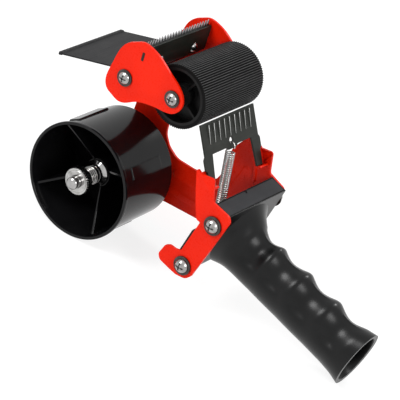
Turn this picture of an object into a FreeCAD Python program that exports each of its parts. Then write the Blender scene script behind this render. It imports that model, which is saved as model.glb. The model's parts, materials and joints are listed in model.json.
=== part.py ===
import FreeCAD, Part
import Sketcher
import math
import os

Vec = FreeCAD.Vector
doc = FreeCAD.newDocument("tape_gun")

# every size in millimetres, written once; the hub axis is the working origin
sizes = [
    # where the hub axis stands over the floor, and the middle of the width
    ("hub_place_x", -84.89), ("hub_place_y", 0.13),
    # sheet steel of the frame
    ("sheet", 1.6), ("far_inner", 30.2), ("cheek_inner", 29.4), ("head_inner", 34.4), ("cut_over", 2.0),
    ("bead_rise", 0.9), ("bead_width", 7.0), ("seat_gap", 0.1), ("run_gap", 0.05),
    ("lobe_radius", 24.0),
    # tape hub
    ("hub_rim_radius", 37.6), ("hub_rim_length", 2.2), ("hub_body_radius", 36.2), ("hub_taper", 0.5),
    ("hub_near", -28.0), ("hub_length", 49.6), ("hub_wall", 1.9), ("hub_boss_radius", 9.0),
    ("hub_boss_setback", 20.5), ("hub_spoke", 1.5), ("hub_spoke_turn", 33.0), ("hub_spoke_setback", 3.0),
    ("hub_floor", 2.2), ("hub_floor_setback", 6.0), ("tongue_width", 8.0), ("tongue_rise", 1.1),
    ("tongue_length", 32.0), ("tongue_setback", 8.0),
    # spindle stack
    ("stud_radius", 4.0), ("stud_bore_gap", 0.05), ("stud_reach", 34.5), ("stud_chamfer", 1.0),
    ("stud_collar_radius", 9.0), ("stud_collar", 3.0), ("thumb_radius", 9.1), ("thumb_length", 5.6),
    ("thumb_face", 29.1), ("thumb_knurl", 0.35), ("thumb_lip", 0.8), ("cup_radius", 8.5), ("cup_length", 4.6),
    ("cup_sheet", 1.0), ("cup_front", 12.2), ("brake_wire", 1.1), ("brake_radius", 5.6),
    ("thrust_radius", 7.2), ("thrust_sheet", 1.0),
    ("nut_across", 13.0), ("nut_length", 5.0), ("washer_radius", 8.0), ("washer_sheet", 1.2),
    # roller, its axle and the front spacer
    ("roller_x", 52.1), ("roller_z", 90.2), ("front_x", 17.2), ("front_z", 85.7),
    ("roller_radius", 19.7), ("roller_end_gap", 0.6), ("roller_near_gap", 4.1), ("rubber", 2.2),
    ("groove_depth", 0.55), ("core_wall", 1.6), ("core_spoke", 1.3), ("core_boss", 7.0), ("core_neck", 5.6),
    ("core_disc", 2.0), ("core_setback", 7.0), ("axle_radius", 4.0), ("spacer_radius", 3.0),
    # screws of the head plates
    ("screw_radius", 2.0), ("screw_head", 4.0), ("screw_dome", 2.3), ("screw_length", 11.0),
    ("cross_width", 0.9), ("cross_reach", 2.4), ("cross_depth", 1.3), ("tooth_washer", 5.2),
    ("tooth_washer_sheet", 0.8),
    # blade, its holder and the flap
    ("holder_x", 25.8), ("holder_top", 109.2), ("holder_sheet", 1.5),
    ("foot_length", 21.0), ("tab_height", 5.2), ("tab_z", 104.2), ("blade_sheet", 0.8), ("blade_low", 94.2),
    ("tooth_height", 3.8), ("blade_screw_z", 97.2), ("blade_screw_y", 17.1), ("blade_screw_radius", 1.5),
    ("blade_screw_head", 3.0), ("blade_screw_dome", 1.7), ("blade_gap", 0.6),
    ("flap_sheet", 1.0), ("flap_width", 61.0), ("flap_tip_x", -34.4), ("flap_tip_z", 73.4),
    ("flap_lip", 2.2), ("flap_lip_width", 3.0), ("rivet_radius", 1.6), ("rivet_head", 2.8),
    ("rivet_dome", 1.0), ("rivet_y", 20.0),
    # handle and the cheek screws
    ("tilt", 14.4), ("pivot_x", 100.4), ("pivot_z", 27.9), ("screw_pitch", 37.2), ("screw_lead", -2.2),
    ("slab_front", 5.3), ("slab_depth", 12.1), ("slab_top", 11.7), ("slab_bottom", 18.0),
    ("boss_front", 2.0), ("boss_rear", 10.0), ("boss_radius", 6.6), ("cap_round", 1.2), ("grip_drop", 18.8),
    ("grip_length", 104.8), ("grip_half_width", 14.0), ("grip_half_depth", 17.6), ("groove_half", 16.4),
    ("peak_half", 18.7), ("end_half_width", 14.5), ("end_half_depth", 20.6), ("root_half_width", 25.0),
    ("root_half_depth", 28.5), ("grip_wall", 3.2), ("bore_depth", 62.0), ("nick", 1.6),
    ("lug_sheet", 3.0), ("lug_gap", 8.4), ("lug_reach", 11.5), ("lug_height", 9.0),
    ("cheek_screw_radius", 2.5), ("cheek_screw_head", 4.6), ("cheek_screw_dome", 3.2),
    ("cheek_washer", 6.0), ("cheek_washer_sheet", 1.1), ("cheek_nut_across", 8.0), ("cheek_nut", 4.0),
    ("stud_over", 1.0),
    # tension plate and its spring
    ("plate_sheet", 1.2), ("plate_foot_x", 88.6), ("plate_foot_z", 46.7), ("plate_lean", 29.75),
    ("plate_clear", 1.24), ("plate_width", 57.6), ("leg_width", 8.8), ("leg_length", 18.4),
    ("leg_foot_width", 7.2), ("side_inset", 1.4), ("rib_length", 13.0), ("rib_width", 2.6), ("rib_rise", 1.1),
    ("hole_height", 21.9), ("hole_radius", 1.9), ("tab_drop", 1.6), ("pocket_width", 8.2),
    ("pocket_gap", 0.35), ("floor_reach", 2.4), ("back_height", 10.2), ("crease_tilt", 7.0), ("ear_step", 0.8),
    ("coil_wire", 0.9), ("coil_radius", 2.75), ("coil_pitch", 1.42), ("pin_radius", 1.5),
    ("pin_x", 85.5), ("pin_z", 16.6), ("pin_over", 1.2),
]
counts = {"hub_spokes": 4, "roller_spokes": 4, "grooves": 84, "knurls": 48, "teeth": 23, "ribs": 9,
          "coil_turns": 27, "brake_turns": 4}

sheet = doc.addObject("Spreadsheet::Sheet", "sizes")
for row, (name, value) in enumerate(sizes + list(counts.items()), 1):
    sheet.set("A%d" % row, name)
    sheet.set("B%d" % row, str(value))
    sheet.setAlias("B%d" % row, name)
doc.recompute()


# a number that keeps how it follows from the sheet's cells
class Sized(float):
    def __new__(cls, value, text):
        number = float.__new__(cls, value)
        number.text = text
        return number

    def __add__(self, other):
        return worked(self, "+", other)

    def __radd__(self, other):
        return worked(other, "+", self)

    def __sub__(self, other):
        return worked(self, "-", other)

    def __rsub__(self, other):
        return worked(other, "-", self)

    def __mul__(self, other):
        return worked(self, "*", other)

    def __rmul__(self, other):
        return worked(other, "*", self)

    def __truediv__(self, other):
        return worked(self, "/", other)

    def __rtruediv__(self, other):
        return worked(other, "/", self)

    def __neg__(self):
        return worked(0, "-", self)


def text_of(value):
    return value.text if isinstance(value, Sized) else "%.12g" % value


def worked(a, sign, b):
    if not (isinstance(a, (int, float)) and isinstance(b, (int, float))):
        return NotImplemented
    p, q = float(a), float(b)
    value = {"+": p + q, "-": p - q, "*": p * q}[sign] if sign != "/" else p / q
    return Sized(value, "(%s %s %s)" % (text_of(a), sign, text_of(b)))


class Sizes:
    def __getattr__(self, name):
        return Sized(float(sheet.get(name)), "sizes." + name)


s = Sizes()
home = Vec(s.hub_place_x, s.hub_place_y, s.hub_rim_radius)
half = math.pi / 2
turn = 2 * math.pi
over = s.cut_over
made = []


def bind(piece, field, value):
    piece.setExpression(field, text_of(value))


def stand(piece, x, y, z):
    for axis, value in zip("xyz", (x, y, z)):
        bind(piece, "Placement.Base." + axis, value)


# a finished piece under its own name, at its place over the floor
def place(piece, name, x=0.0, y=0.0, z=0.0):
    piece.Label = name
    stand(piece, s.hub_place_x + x, s.hub_place_y + y, s.hub_rim_radius + z)
    made.append(piece)
    return piece


# primitives that stand along Y, and their booleans
upright = FreeCAD.Rotation(Vec(1, 0, 0), -90)


def cylinder(name, radius, low, high, x=0.0, z=0.0):
    piece = doc.addObject("Part::Cylinder", name)
    piece.Placement = FreeCAD.Placement(Vec(), upright)
    bind(piece, "Radius", radius)
    bind(piece, "Height", high - low)
    stand(piece, x, low, z)
    return piece


def cone(name, radius, top_radius, low, high):
    piece = doc.addObject("Part::Cone", name)
    piece.Placement = FreeCAD.Placement(Vec(), upright)
    bind(piece, "Radius1", radius)
    bind(piece, "Radius2", top_radius)
    bind(piece, "Height", high - low)
    stand(piece, 0, low, 0)
    return piece


def block_of(name, wide, deep, tall, x, y, z):
    piece = doc.addObject("Part::Box", name)
    for field, value in (("Length", wide), ("Width", deep), ("Height", tall)):
        bind(piece, field, value)
    stand(piece, x, y, z)
    return piece


def fused(name, pieces):
    joined = doc.addObject("Part::MultiFuse", name)
    joined.Shapes = pieces
    joined.Refine = True
    return joined


def cut_from(name, base, tools):
    result = doc.addObject("Part::Cut", name)
    result.Base = base
    result.Tool = tools[0] if len(tools) == 1 else fused(name + "_holes", tools)
    result.Refine = True
    return result


def washer(name, radius, bore, low, high, x=0.0, z=0.0):
    disc = cylinder(name + "_disc", radius, low, high, x, z)
    return cut_from(name, disc, [cylinder(name + "_bore", bore, low - over, high + over, x, z)])


def grouped(name, pieces):
    group = doc.addObject("Part::Compound", name)
    group.Links = pieces
    return group


# bodies of sketches and features
def body_of(name):
    return doc.addObject("PartDesign::Body", name)


def datum(body, role):
    return next(p for p in body.Origin.OriginFeatures if p.Role == role)


def fix(sketch, geometry, point, x, y):
    for kind, axis, value in (("DistanceX", -2, x), ("DistanceY", -1, y)):
        if value == 0:
            sketch.addConstraint(Sketcher.Constraint("PointOnObject", geometry, point, axis))
        else:
            named = sketch.addConstraint(Sketcher.Constraint(kind, geometry, point, float(value)))
            sketch.renameConstraint(named, "%s_%d" % (kind, named))
            bind(sketch, "Constraints.%s_%d" % (kind, named), value)


# lift moves a sketch off its plane, lean_angle leans it about Y, and each round takes its own corner
def sketched(body, name, role, points=(), rounds=(), circles=(), lift=0.0, lean_angle=None, spot=None):
    sketch = body.newObject("Sketcher::SketchObject", name)
    sketch.AttachmentSupport = (datum(body, role), [""])
    sketch.MapMode = "FlatFace"
    if lift:
        bind(sketch, "AttachmentOffset.Base.z", lift if role != "XZ_Plane" else -lift)
    if lean_angle is not None:
        sketch.AttachmentOffset = FreeCAD.Placement(Vec(), FreeCAD.Rotation(Vec(0, -1, 0), float(lean_angle)))
        bind(sketch, "AttachmentOffset.Rotation.Angle", lean_angle)
    if spot is not None:
        for axis, value in zip("xyz", spot):
            bind(sketch, "AttachmentOffset.Base." + axis, value)
    count = len(points)
    if count:
        ends = [Vec(x, y, 0) for x, y in points]
        sketch.addGeometry([Part.LineSegment(p, q) for p, q in zip(ends, ends[1:] + ends[:1])], False)
        sketch.addConstraint([Sketcher.Constraint("Coincident", i, 2, (i + 1) % count, 1)
                              for i in range(count)])
        for i, (x, y) in enumerate(points):
            fix(sketch, i, 1, x, y)
        for i, radius in enumerate(rounds):
            if radius == 0:
                continue
            p, way_in, way_out = ends[i], ends[i - 1] - ends[i], ends[(i + 1) % count] - ends[i]
            sketch.fillet((i - 1) % count, i, p + way_in * 0.3, p + way_out * 0.3, float(radius), True, True)
            bow = max(k for k, curve in enumerate(sketch.Geometry) if curve.TypeId == "Part::GeomArcOfCircle")
            named = sketch.addConstraint(Sketcher.Constraint("Radius", bow, float(radius)))
            sketch.renameConstraint(named, "round_%d" % i)
            bind(sketch, "Constraints.round_%d" % i, radius)
    for x, y, radius in circles:
        k = sketch.addGeometry(Part.Circle(Vec(x, y, 0), Vec(0, 0, 1), float(radius)), False)
        fix(sketch, k, 3, x, y)
        named = sketch.addConstraint(Sketcher.Constraint("Radius", k, float(radius)))
        sketch.renameConstraint(named, "radius_%d" % k)
        bind(sketch, "Constraints.radius_%d" % k, radius)
    return sketch


def grown(body, kind, name, sketch, length, both=False):
    feature = body.newObject("PartDesign::" + kind, name)
    feature.Profile = sketch
    on_front = sketch.AttachmentSupport[0][0].Role == "XZ_Plane"
    feature.Reversed = on_front if kind == "Pad" else not on_front
    feature.Midplane = both
    bind(feature, "Length", length)
    return feature


def spun(body, name, sketch):
    feature = body.newObject("PartDesign::Revolution", name)
    feature.Profile = sketch
    feature.ReferenceAxis = (sketch, ["V_Axis"])
    feature.Angle = 360
    return feature


def ringed(body, name, features, count):
    pattern = body.newObject("PartDesign::PolarPattern", name)
    pattern.Originals = features
    pattern.Axis = (datum(body, "Y_Axis"), [""])
    pattern.Angle = 360
    bind(pattern, "Occurrences", count)
    body.Tip = pattern
    return pattern


def rowed(body, name, features, length, count):
    pattern = body.newObject("PartDesign::LinearPattern", name)
    pattern.Originals = features
    pattern.Direction = (datum(body, "Y_Axis"), [""])
    bind(pattern, "Length", length)
    bind(pattern, "Occurrences", count)
    body.Tip = pattern
    return pattern


# plates with traced outlines, the lofted handle and the wound springs, each a finished solid
def keep(name, shape):
    if shape.ShapeType == "Compound" and len(shape.Solids) == 1:
        shape = shape.Solids[0]
    piece = doc.addObject("Part::Feature", name)
    piece.Label = name
    piece.Shape = shape
    piece.Placement = FreeCAD.Placement(home, FreeCAD.Rotation()).multiply(shape.Placement)
    made.append(piece)
    return piece


def rod(radius, low, high, x=0.0, z=0.0):
    return Part.makeCylinder(radius, high - low, Vec(x, low, z), Vec(0, 1, 0))


# a closed outline in the XZ plane, corners rounded where a radius is given
def outline(points, rounds):
    count = len(points)
    edges, last, first = [], None, None
    for i in range(count):
        p = Vec(points[i][0], 0, points[i][1])
        a = Vec(points[i - 1][0], 0, points[i - 1][1]) - p
        b = Vec(points[(i + 1) % count][0], 0, points[(i + 1) % count][1]) - p
        r = rounds[i] if isinstance(rounds, (list, tuple)) else rounds
        opening = a.getAngle(b)
        if r > 0 and opening < math.pi * 0.99:
            run = min(r / math.tan(opening / 2), a.Length * 0.48, b.Length * 0.48)
            r = run * math.tan(opening / 2)
            a.normalize()
            b.normalize()
            start, end = p + a * run, p + b * run
            middle = p + (a + b).normalize() * (r / math.sin(opening / 2) - r)
            bend = Part.Arc(start, middle, end).toShape()
        else:
            start = end = p
            bend = None
        if last is not None and (start - last).Length > 1e-6:
            edges.append(Part.makeLine(last, start))
        if bend is not None:
            edges.append(bend)
        if first is None:
            first = start
        last = end
    if (first - last).Length > 1e-6:
        edges.append(Part.makeLine(last, first))
    return Part.Wire(edges)


def slab_of(wire, low, high):
    face = Part.Face(wire)
    solid = face.extrude(Vec(0, high - low, 0))
    solid.translate(Vec(0, low, 0))
    return solid


def smooth(points):
    curve = Part.BSplineCurve()
    curve.interpolate([Vec(x, 0, z) for x, z in points], True)
    return Part.Wire([curve.toShape()])


def spread(shape, others):
    for other in others:
        shape = shape.fuse(other)
    return shape.removeSplitter()


def without(shape, others):
    for other in others:
        shape = shape.cut(other)
    return shape


# points in the handle's own axes, along the grip and square to it, turned by the tilt
lean = math.radians(s.tilt)
lean_cos = Sized(math.cos(lean), "cos(sizes.tilt)")
lean_sin = Sized(math.sin(lean), "sin(sizes.tilt)")


def handle_point(along, across):
    return (s.pivot_x + along * lean_cos + across * lean_sin, s.pivot_z - along * lean_sin + across * lean_cos)


low_screw = handle_point(s.screw_lead, -s.screw_pitch)
span = math.hypot(s.roller_x - s.front_x, s.roller_z - s.front_z)
reach = math.hypot(s.roller_x, s.roller_z)

near_cheek_out = -s.cheek_inner - s.sheet
near_head_out = -s.head_inner - s.sheet
far_out = s.far_inner + s.sheet
axle_low = -s.head_inner + s.seat_gap
axle_high = s.far_inner - s.seat_gap

# outline of a head plate, in shares of the span between its two axles, from the front axle
head_shares = [(-0.029, 0.675), (-0.233, 0.456), (-0.297, 0.229), (-0.350, -0.017), (-0.362, -0.230),
               (-0.293, -0.357), (-0.166, -0.418), (-0.021, -0.461), (0.100, -0.438), (0.326, -0.296),
               (0.490, -0.235), (0.729, -0.187), (0.910, -0.169), (1.063, -0.124), (1.170, -0.017),
               (1.205, 0.128), (1.168, 0.246), (1.059, 0.368),
               (0.806, 0.525), (0.542, 0.685), (0.363, 0.748), (0.163, 0.766)]
head_points = [(s.front_x + a * span, s.front_z + b * span) for a, b in head_shares]

# outline of the near cheek, in shares of the pitch of its two screws, from the upper one
pitch = math.hypot(s.screw_lead, s.screw_pitch)
cheek_shares = [(-0.597, 0.770), (-0.491, 0.394), (-0.390, 0.090), (-0.315, -0.076), (-0.241, -0.076),
                (-0.420, -0.732), (-0.522, -0.761), (-0.640, -0.754), (-0.721, -0.803), (-0.801, -1.013),
                (-0.739, -1.098), (-0.541, -1.146), (-0.383, -1.176), (-0.195, -1.151), (-0.107, -1.052),
                (0.081, -0.451), (0.270, 0.200), (0.219, 0.290),
                (-0.110, 0.363), (-0.138, 0.390), (-0.231, 0.739), (-0.475, 0.697)]
cheek_rounds_shares = [0.03, 0, 0, 0.1, 0.02, 0.05, 0.05, 0.05, 0.05, 0.09, 0.09, 0.2, 0.2, 0.15, 0.1, 0,
                       0.08, 0.08, 0.03, 0.02, 0.05, 0.05]
far_cheek_shares = cheek_shares[:15] + [(0.0, -0.451), (0.177, 0.216), (0.152, 0.268), (-0.155, 0.372),
                                        (-0.172, 0.408), (-0.231, 0.739), (-0.475, 0.697)]
cheek_points = [(s.pivot_x + a * pitch, s.pivot_z + b * pitch) for a, b in cheek_shares]
far_cheek_points = [(s.pivot_x + a * pitch, s.pivot_z + b * pitch) for a, b in far_cheek_shares]
cheek_rounds = [r * pitch for r in cheek_rounds_shares]

# holes that the fasteners pass through, from the fasteners' own sizes
axle_hole = s.screw_radius + s.seat_gap
bolt_hole = s.cheek_screw_radius + s.seat_gap
head_holes = [rod(axle_hole, -s.head_inner - s.sheet - over, far_out + over, x, z)
              for x, z in ((s.roller_x, s.roller_z), (s.front_x, s.front_z))]
bolt_holes = [rod(bolt_hole, near_cheek_out - over, far_out + over, x, z)
              for x, z in ((s.pivot_x, s.pivot_z), low_screw)]
tab_x = s.holder_x - s.holder_sheet / 2
tab_hole = Part.makeBox(s.holder_sheet + 2 * s.seat_gap, far_out - near_head_out + 2 * over,
                        s.tab_height + 2 * s.seat_gap, Vec(tab_x - s.holder_sheet / 2 - s.seat_gap,
                        near_head_out - over, s.tab_z - s.tab_height / 2 - s.seat_gap))

# the pocket that holds a foot of the tension plate: a back wall that it leans on and a floor under it
plate_angle = math.radians(s.plate_lean)
lean_back = Sized(math.sin(plate_angle), "sin(sizes.plate_lean)")
stand_up = Sized(math.cos(plate_angle), "cos(sizes.plate_lean)")
along_plate = (-lean_back, stand_up)
off_plate = (stand_up, lean_back)


def plate_point(up, out):
    return (s.plate_foot_x + up * along_plate[0] + out * off_plate[0],
            s.plate_foot_z + up * along_plate[1] + out * off_plate[1])


def pocket(low, high):
    back = -s.plate_sheet / 2 - s.pocket_gap
    under = -s.pocket_gap
    walls = [plate_point(s.back_height, back - s.sheet), plate_point(s.back_height, back),
             plate_point(under, back), plate_point(under, s.floor_reach),
             plate_point(under - s.sheet, s.floor_reach), plate_point(under - s.sheet, back - s.sheet)]
    return slab_of(outline(walls, s.sheet * 0.4), low, high)


# main plate: lobe round the spindle, lower limb, arm, head and the far cheek
limb_shares = [(-0.097, 0.286), (-0.088, 0.432), (0.001, 0.630), (0.055, 0.749), (0.280, 0.888), (0.542, 0.789),
               (0.402, 0.630), (0.232, 0.512), (0.159, 0.393), (0.164, 0.256), (0.209, 0.191), (0.285, 0.147),
               (0.405, 0.147), (0.576, 0.160), (0.603, 0.224), (0.624, 0.422), (0.702, 0.539), (0.719, 0.534),
               (0.826, 0.096), (0.788, -0.112), (0.647, -0.130), (0.547, -0.136), (0.287, -0.157), (0.047, -0.217),
               (-0.135, -0.102)]
limb_rounds_shares = [0.05, 0.1, 0.1, 0.05, 0.05, 0.05, 0.1, 0.15, 0.12, 0.09, 0.09, 0.1, 0.1, 0.06, 0.06, 0.1,
                      0.02, 0.02, 0, 0, 0.05, 0.1, 0.3, 0.1, 0.1]
limb_points = [(a * reach, b * reach) for a, b in limb_shares]
limb_rounds = [r * reach for r in limb_rounds_shares]
far_low, far_high = s.far_inner, far_out
web_shares = [(-0.706, 0.745), (-0.614, 0.785), (-0.508, 0.409), (-0.407, 0.104), (-0.332, -0.062), (-0.457, -0.229),
              (-0.623, 0.395)]
web_points = [(s.pivot_x + a * pitch, s.pivot_z + b * pitch) for a, b in web_shares]
main = spread(slab_of(outline(limb_points, limb_rounds), far_low, far_high),
              [rod(s.lobe_radius, far_low, far_high), slab_of(smooth(head_points), far_low, far_high),
               slab_of(outline(far_cheek_points, cheek_rounds), far_low, far_high),
               slab_of(outline(web_points, 0), far_low, far_high)])

# pressed beads, each a rounded bar standing on the inner face, in shares of the reach
bead_shares = [((0.315, 0.062), (0.526, 0.058), 1.0),
               ((0.286, -0.057), (0.547, -0.059), 1.0),
               ((0.751, 0.338), (0.686, 0.135), 0.9),
               ((0.751, 0.338), (0.821, 0.244), 0.9),
               ((0.002, 0.412), (0.081, 0.611), 1.0),
               ((0.718, 0.526), (0.797, 0.420), 0.45),
               ((0.797, 0.420), (0.823, 0.312), 0.45)]


def bead(a, b, wide, rise, base, toward):
    ax, az, bx, bz = a[0], a[1], b[0], b[1]
    way = Vec(bx - ax, 0, bz - az)
    side = Vec(-way.z, 0, way.x).normalize() * (wide / 2)
    top = 0.45
    wires = []
    for depth, share in ((-rise * 0.2, 1.0), (rise, top)):
        p, q, w = Vec(ax, base - toward * depth, az), Vec(bx, base - toward * depth, bz), side * share
        tip = Vec(way).normalize() * (wide / 2 * share)
        wires.append(Part.Wire([Part.makeLine(p + w, q + w), Part.Arc(q + w, q + tip, q - w).toShape(),
                                Part.makeLine(q - w, p - w), Part.Arc(p - w, p - tip, p + w).toShape()]))
    return Part.makeLoft(wires, True, True)


for a, b, share in bead_shares:
    main = main.fuse(bead((a[0] * reach, a[1] * reach), (b[0] * reach, b[1] * reach),
                          s.bead_width * share, s.bead_rise, s.far_inner, 1))
stud_seat = s.stud_radius + s.seat_gap
# the step that is pressed into the far ear round the foot, in shares of the pitch
step_shares = [(-0.574, 0.677), (-0.452, 0.412), (-0.414, 0.417), (-0.330, 0.506), (-0.264, 0.616), (-0.207, 0.712),
               (-0.258, 0.742), (-0.390, 0.689)]
step_points = [(s.pivot_x + a * pitch, s.pivot_z + b * pitch) for a, b in step_shares]
step = slab_of(outline(step_points, s.sheet), far_low - over, far_low + s.ear_step)
main = without(main, head_holes + bolt_holes + [step, rod(stud_seat, far_low - over, far_high + over)] + [tab_hole])
main = main.fuse(pocket(s.far_inner - s.pocket_width, s.far_inner + s.sheet * 0.9)).removeSplitter()
keep("main_plate", main.removeSplitter())

near_cheek = spread(slab_of(outline(cheek_points, cheek_rounds), near_cheek_out, -s.cheek_inner),
                    [pocket(-s.cheek_inner - s.sheet / 2, -s.cheek_inner + s.pocket_width)])
# the ear's face bends inward past a crease from its top to the slab's corner, in shares of the pitch
crease_shares = [(-0.597, 0.782), (-0.143, 0.402)]
(ax, az), (bx, bz) = [(s.pivot_x + a * pitch, s.pivot_z + b * pitch) for a, b in crease_shares]
crease = math.hypot(bx - ax, bz - az)
wedge = Part.makeBox(crease, over, s.screw_pitch)
wedge.translate(Vec(0, -over, 0))
wedge.rotate(Vec(0, 0, 0), Vec(1, 0, 0), -s.crease_tilt)
wedge.rotate(Vec(0, 0, 0), Vec(0, 1, 0), math.degrees(math.atan2(az - bz, bx - ax)))
wedge.translate(Vec(ax, near_cheek_out, az))
keep("near_cheek", without(near_cheek, bolt_holes + [wedge]))
keep("head_plate", without(slab_of(smooth(head_points), near_head_out, -s.head_inner), head_holes + [tab_hole]))

# tape hub: open shell with a rim, a floor web, four spokes, a boss and four raised bars
hub_far = s.hub_near + s.hub_length
far_radius = s.hub_body_radius - s.hub_taper
profile = [(s.hub_rim_radius - s.hub_wall, s.hub_near), (s.hub_rim_radius, s.hub_near),
           (s.hub_rim_radius, s.hub_near + s.hub_rim_length), (s.hub_body_radius, s.hub_near + s.hub_rim_length * 1.6),
           (far_radius, hub_far), (far_radius - s.hub_wall, hub_far),
           (s.hub_body_radius - s.hub_wall, s.hub_near + s.hub_rim_length * 2)]
tape_hub = body_of("tape_hub")
spun(tape_hub, "shell", sketched(tape_hub, "shell_profile", "XY_Plane", profile))
hub_floor_y = hub_far - s.hub_floor_setback
inner_radius = far_radius - s.hub_wall / 2
boss_front = s.hub_near + s.hub_boss_setback
boss, bore = s.hub_boss_radius, s.stud_radius + s.stud_bore_gap
spun(tape_hub, "floor", sketched(tape_hub, "floor_profile", "XY_Plane", [
    (bore, boss_front), (boss, boss_front), (boss, hub_floor_y - s.hub_floor),
    (inner_radius, hub_floor_y - s.hub_floor),
    (inner_radius, hub_floor_y), (boss, hub_floor_y), (boss, hub_far), (bore, hub_far)]))
start = boss * 0.6
spoke = grown(tape_hub, "Pad", "spoke", sketched(tape_hub, "spoke_profile", "XY_Plane", [
    (start, boss_front + over), (start, hub_floor_y - s.hub_floor / 2), (inner_radius, hub_floor_y - s.hub_floor / 2),
    (inner_radius, s.hub_near + s.hub_spoke_setback)], lean_angle=s.hub_spoke_turn), s.hub_spoke, True)
bar_low = s.hub_near + s.tongue_setback
bar_radius = far_radius + s.tongue_rise
bar_root = far_radius - s.hub_wall * 0.5
bar = grown(tape_hub, "Pad", "bar", sketched(tape_hub, "bar_profile", "XY_Plane", [
    (bar_root, bar_low), (bar_radius, bar_low + over), (bar_radius, bar_low + s.tongue_length - over),
    (bar_root, bar_low + s.tongue_length)], lean_angle=s.hub_spoke_turn), s.tongue_width, True)
ringed(tape_hub, "spokes_and_bars", [spoke, bar], s.hub_spokes)
place(tape_hub, "tape_hub")

# spindle stud with a shoulder behind the hub, and its lock nut behind the plate
stud_tip = -s.stud_reach
stud_tail = far_out + s.washer_sheet + s.nut_length + s.stud_over
shoulder = s.far_inner - s.seat_gap
collar = hub_far + s.pocket_gap
spindle = body_of("spindle")
spun(spindle, "stud", sketched(spindle, "stud_profile", "XY_Plane", [
    (0, stud_tip), (s.stud_radius - s.stud_chamfer, stud_tip), (s.stud_radius, stud_tip + s.stud_chamfer),
    (s.stud_radius, collar), (s.stud_collar_radius, collar), (s.stud_collar_radius, collar + s.stud_collar),
    (s.stud_radius * 1.6, shoulder), (s.stud_radius, shoulder), (s.stud_radius, stud_tail - s.stud_chamfer),
    (s.stud_radius - s.stud_chamfer, stud_tail), (0, stud_tail)]))
place(spindle, "spindle")


# a hexagonal nut that stands on the origin along Y, with its outer corners turned off
def hex_nut(name, across, bore, length):
    far = across / 2 / math.cos(math.pi / 6)
    prism = doc.addObject("Part::Prism", name + "_hexagon")
    prism.Placement = FreeCAD.Placement(Vec(), upright)
    prism.Polygon = 6
    bind(prism, "Circumradius", far)
    bind(prism, "Height", length)
    low_part = cylinder(name + "_barrel", far * 1.05, 0, length * 0.7)
    high_part = cone(name + "_cap", far * 1.05, across / 2 * 0.94, length * 0.7, length)
    shaped = doc.addObject("Part::Common", name + "_blank")
    shaped.Base = prism
    shaped.Tool = fused(name + "_turned", [low_part, high_part])
    return cut_from(name, shaped, [cylinder(name + "_bore", bore, -over, length + over)])


nut_low = far_out + s.seat_gap + s.washer_sheet + s.seat_gap
place(washer("spindle_washer", s.washer_radius, s.stud_radius + s.seat_gap, far_out + s.seat_gap,
             far_out + s.seat_gap + s.washer_sheet), "spindle_washer")
place(hex_nut("spindle_nut", s.nut_across, s.stud_radius + s.run_gap, s.nut_length), "spindle_nut", 0, nut_low, 0)

# knurled thumb nut and the sliding cup that the brake spring bears on
thumb_low, thumb_high = -s.thumb_face, -s.thumb_face + s.thumb_length
running = s.stud_radius + s.run_gap
thumb = body_of("thumb_nut")
spun(thumb, "blank", sketched(thumb, "blank_profile", "XY_Plane", [
    (running, thumb_low), (s.thumb_radius - s.thumb_lip, thumb_low), (s.thumb_radius, thumb_low + s.thumb_lip),
    (s.thumb_radius, thumb_high - s.thumb_lip), (s.thumb_radius - s.thumb_lip, thumb_high), (running, thumb_high)]))


# one V cut in a rim, for a pattern round the axis; its half angle is a share of the pitch
def rim_cut(body, name, radius, depth, count, share, low, high):
    swing = turn / 2 / count * share
    reach_out = radius + depth
    spread_out = swing * radius * 2
    cut = grown(body, "Pocket", name, sketched(body, name + "_profile", "XZ_Plane", [
        (radius - depth, 0), (reach_out, -spread_out), (reach_out, spread_out)], lift=low - over),
        high - low + 2 * over)
    return ringed(body, name + "s", [cut], count)


rim_cut(thumb, "knurl", s.thumb_radius, s.thumb_knurl, s.knurls, 0.8, thumb_low, thumb_high)
place(thumb, "thumb_nut")
thrust_high = thumb_high + s.seat_gap + s.thrust_sheet
place(washer("thrust_washer", s.thrust_radius, running, thumb_high + s.seat_gap, thrust_high), "thrust_washer")
cup_low, cup_high = -s.cup_front, -s.cup_front + s.cup_length
cup_neck = s.cup_radius * 0.66
cup = body_of("brake_cup")
spun(cup, "cup", sketched(cup, "cup_profile", "XY_Plane", [
    (running, cup_low), (cup_neck, cup_low), (cup_neck, cup_low + s.cup_sheet), (s.cup_radius, cup_high - s.cup_sheet),
    (s.cup_radius, cup_high), (running, cup_high)]))
place(cup, "brake_cup")


# one unbroken tube along points and their directions, joined by pairs of arcs
def arc_pair(p0, t0, p1, t1):
    v = p1 - p0
    t = t0 + t1
    a = 2 * (1 - t0.dot(t1))
    b = 2 * v.dot(t)
    c = -v.dot(v)
    if abs(a) < 1e-9:
        d = -c / b if abs(b) > 1e-9 else v.Length / 2
    else:
        d = (-b + math.sqrt(max(b * b - 4 * a * c, 0))) / (2 * a)
    q0, q1 = p0 + t0 * d, p1 - t1 * d
    joint = (q0 + q1) * 0.5
    edges = []
    for start, way, end in ((p0, t0, joint), (joint, (q1 - q0).normalize(), p1)):
        chord = end - start
        side = chord - way * chord.dot(way)
        if side.Length < 1e-7:
            edges.append(Part.makeLine(start, end))
            continue
        side.normalize()
        radius = chord.dot(chord) / (2 * chord.dot(side))
        centre = start + side * radius
        middle = centre + ((start + end) * 0.5 - centre).normalize() * radius
        edges.append(Part.Arc(start, middle, end).toShape())
    return edges


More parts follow.
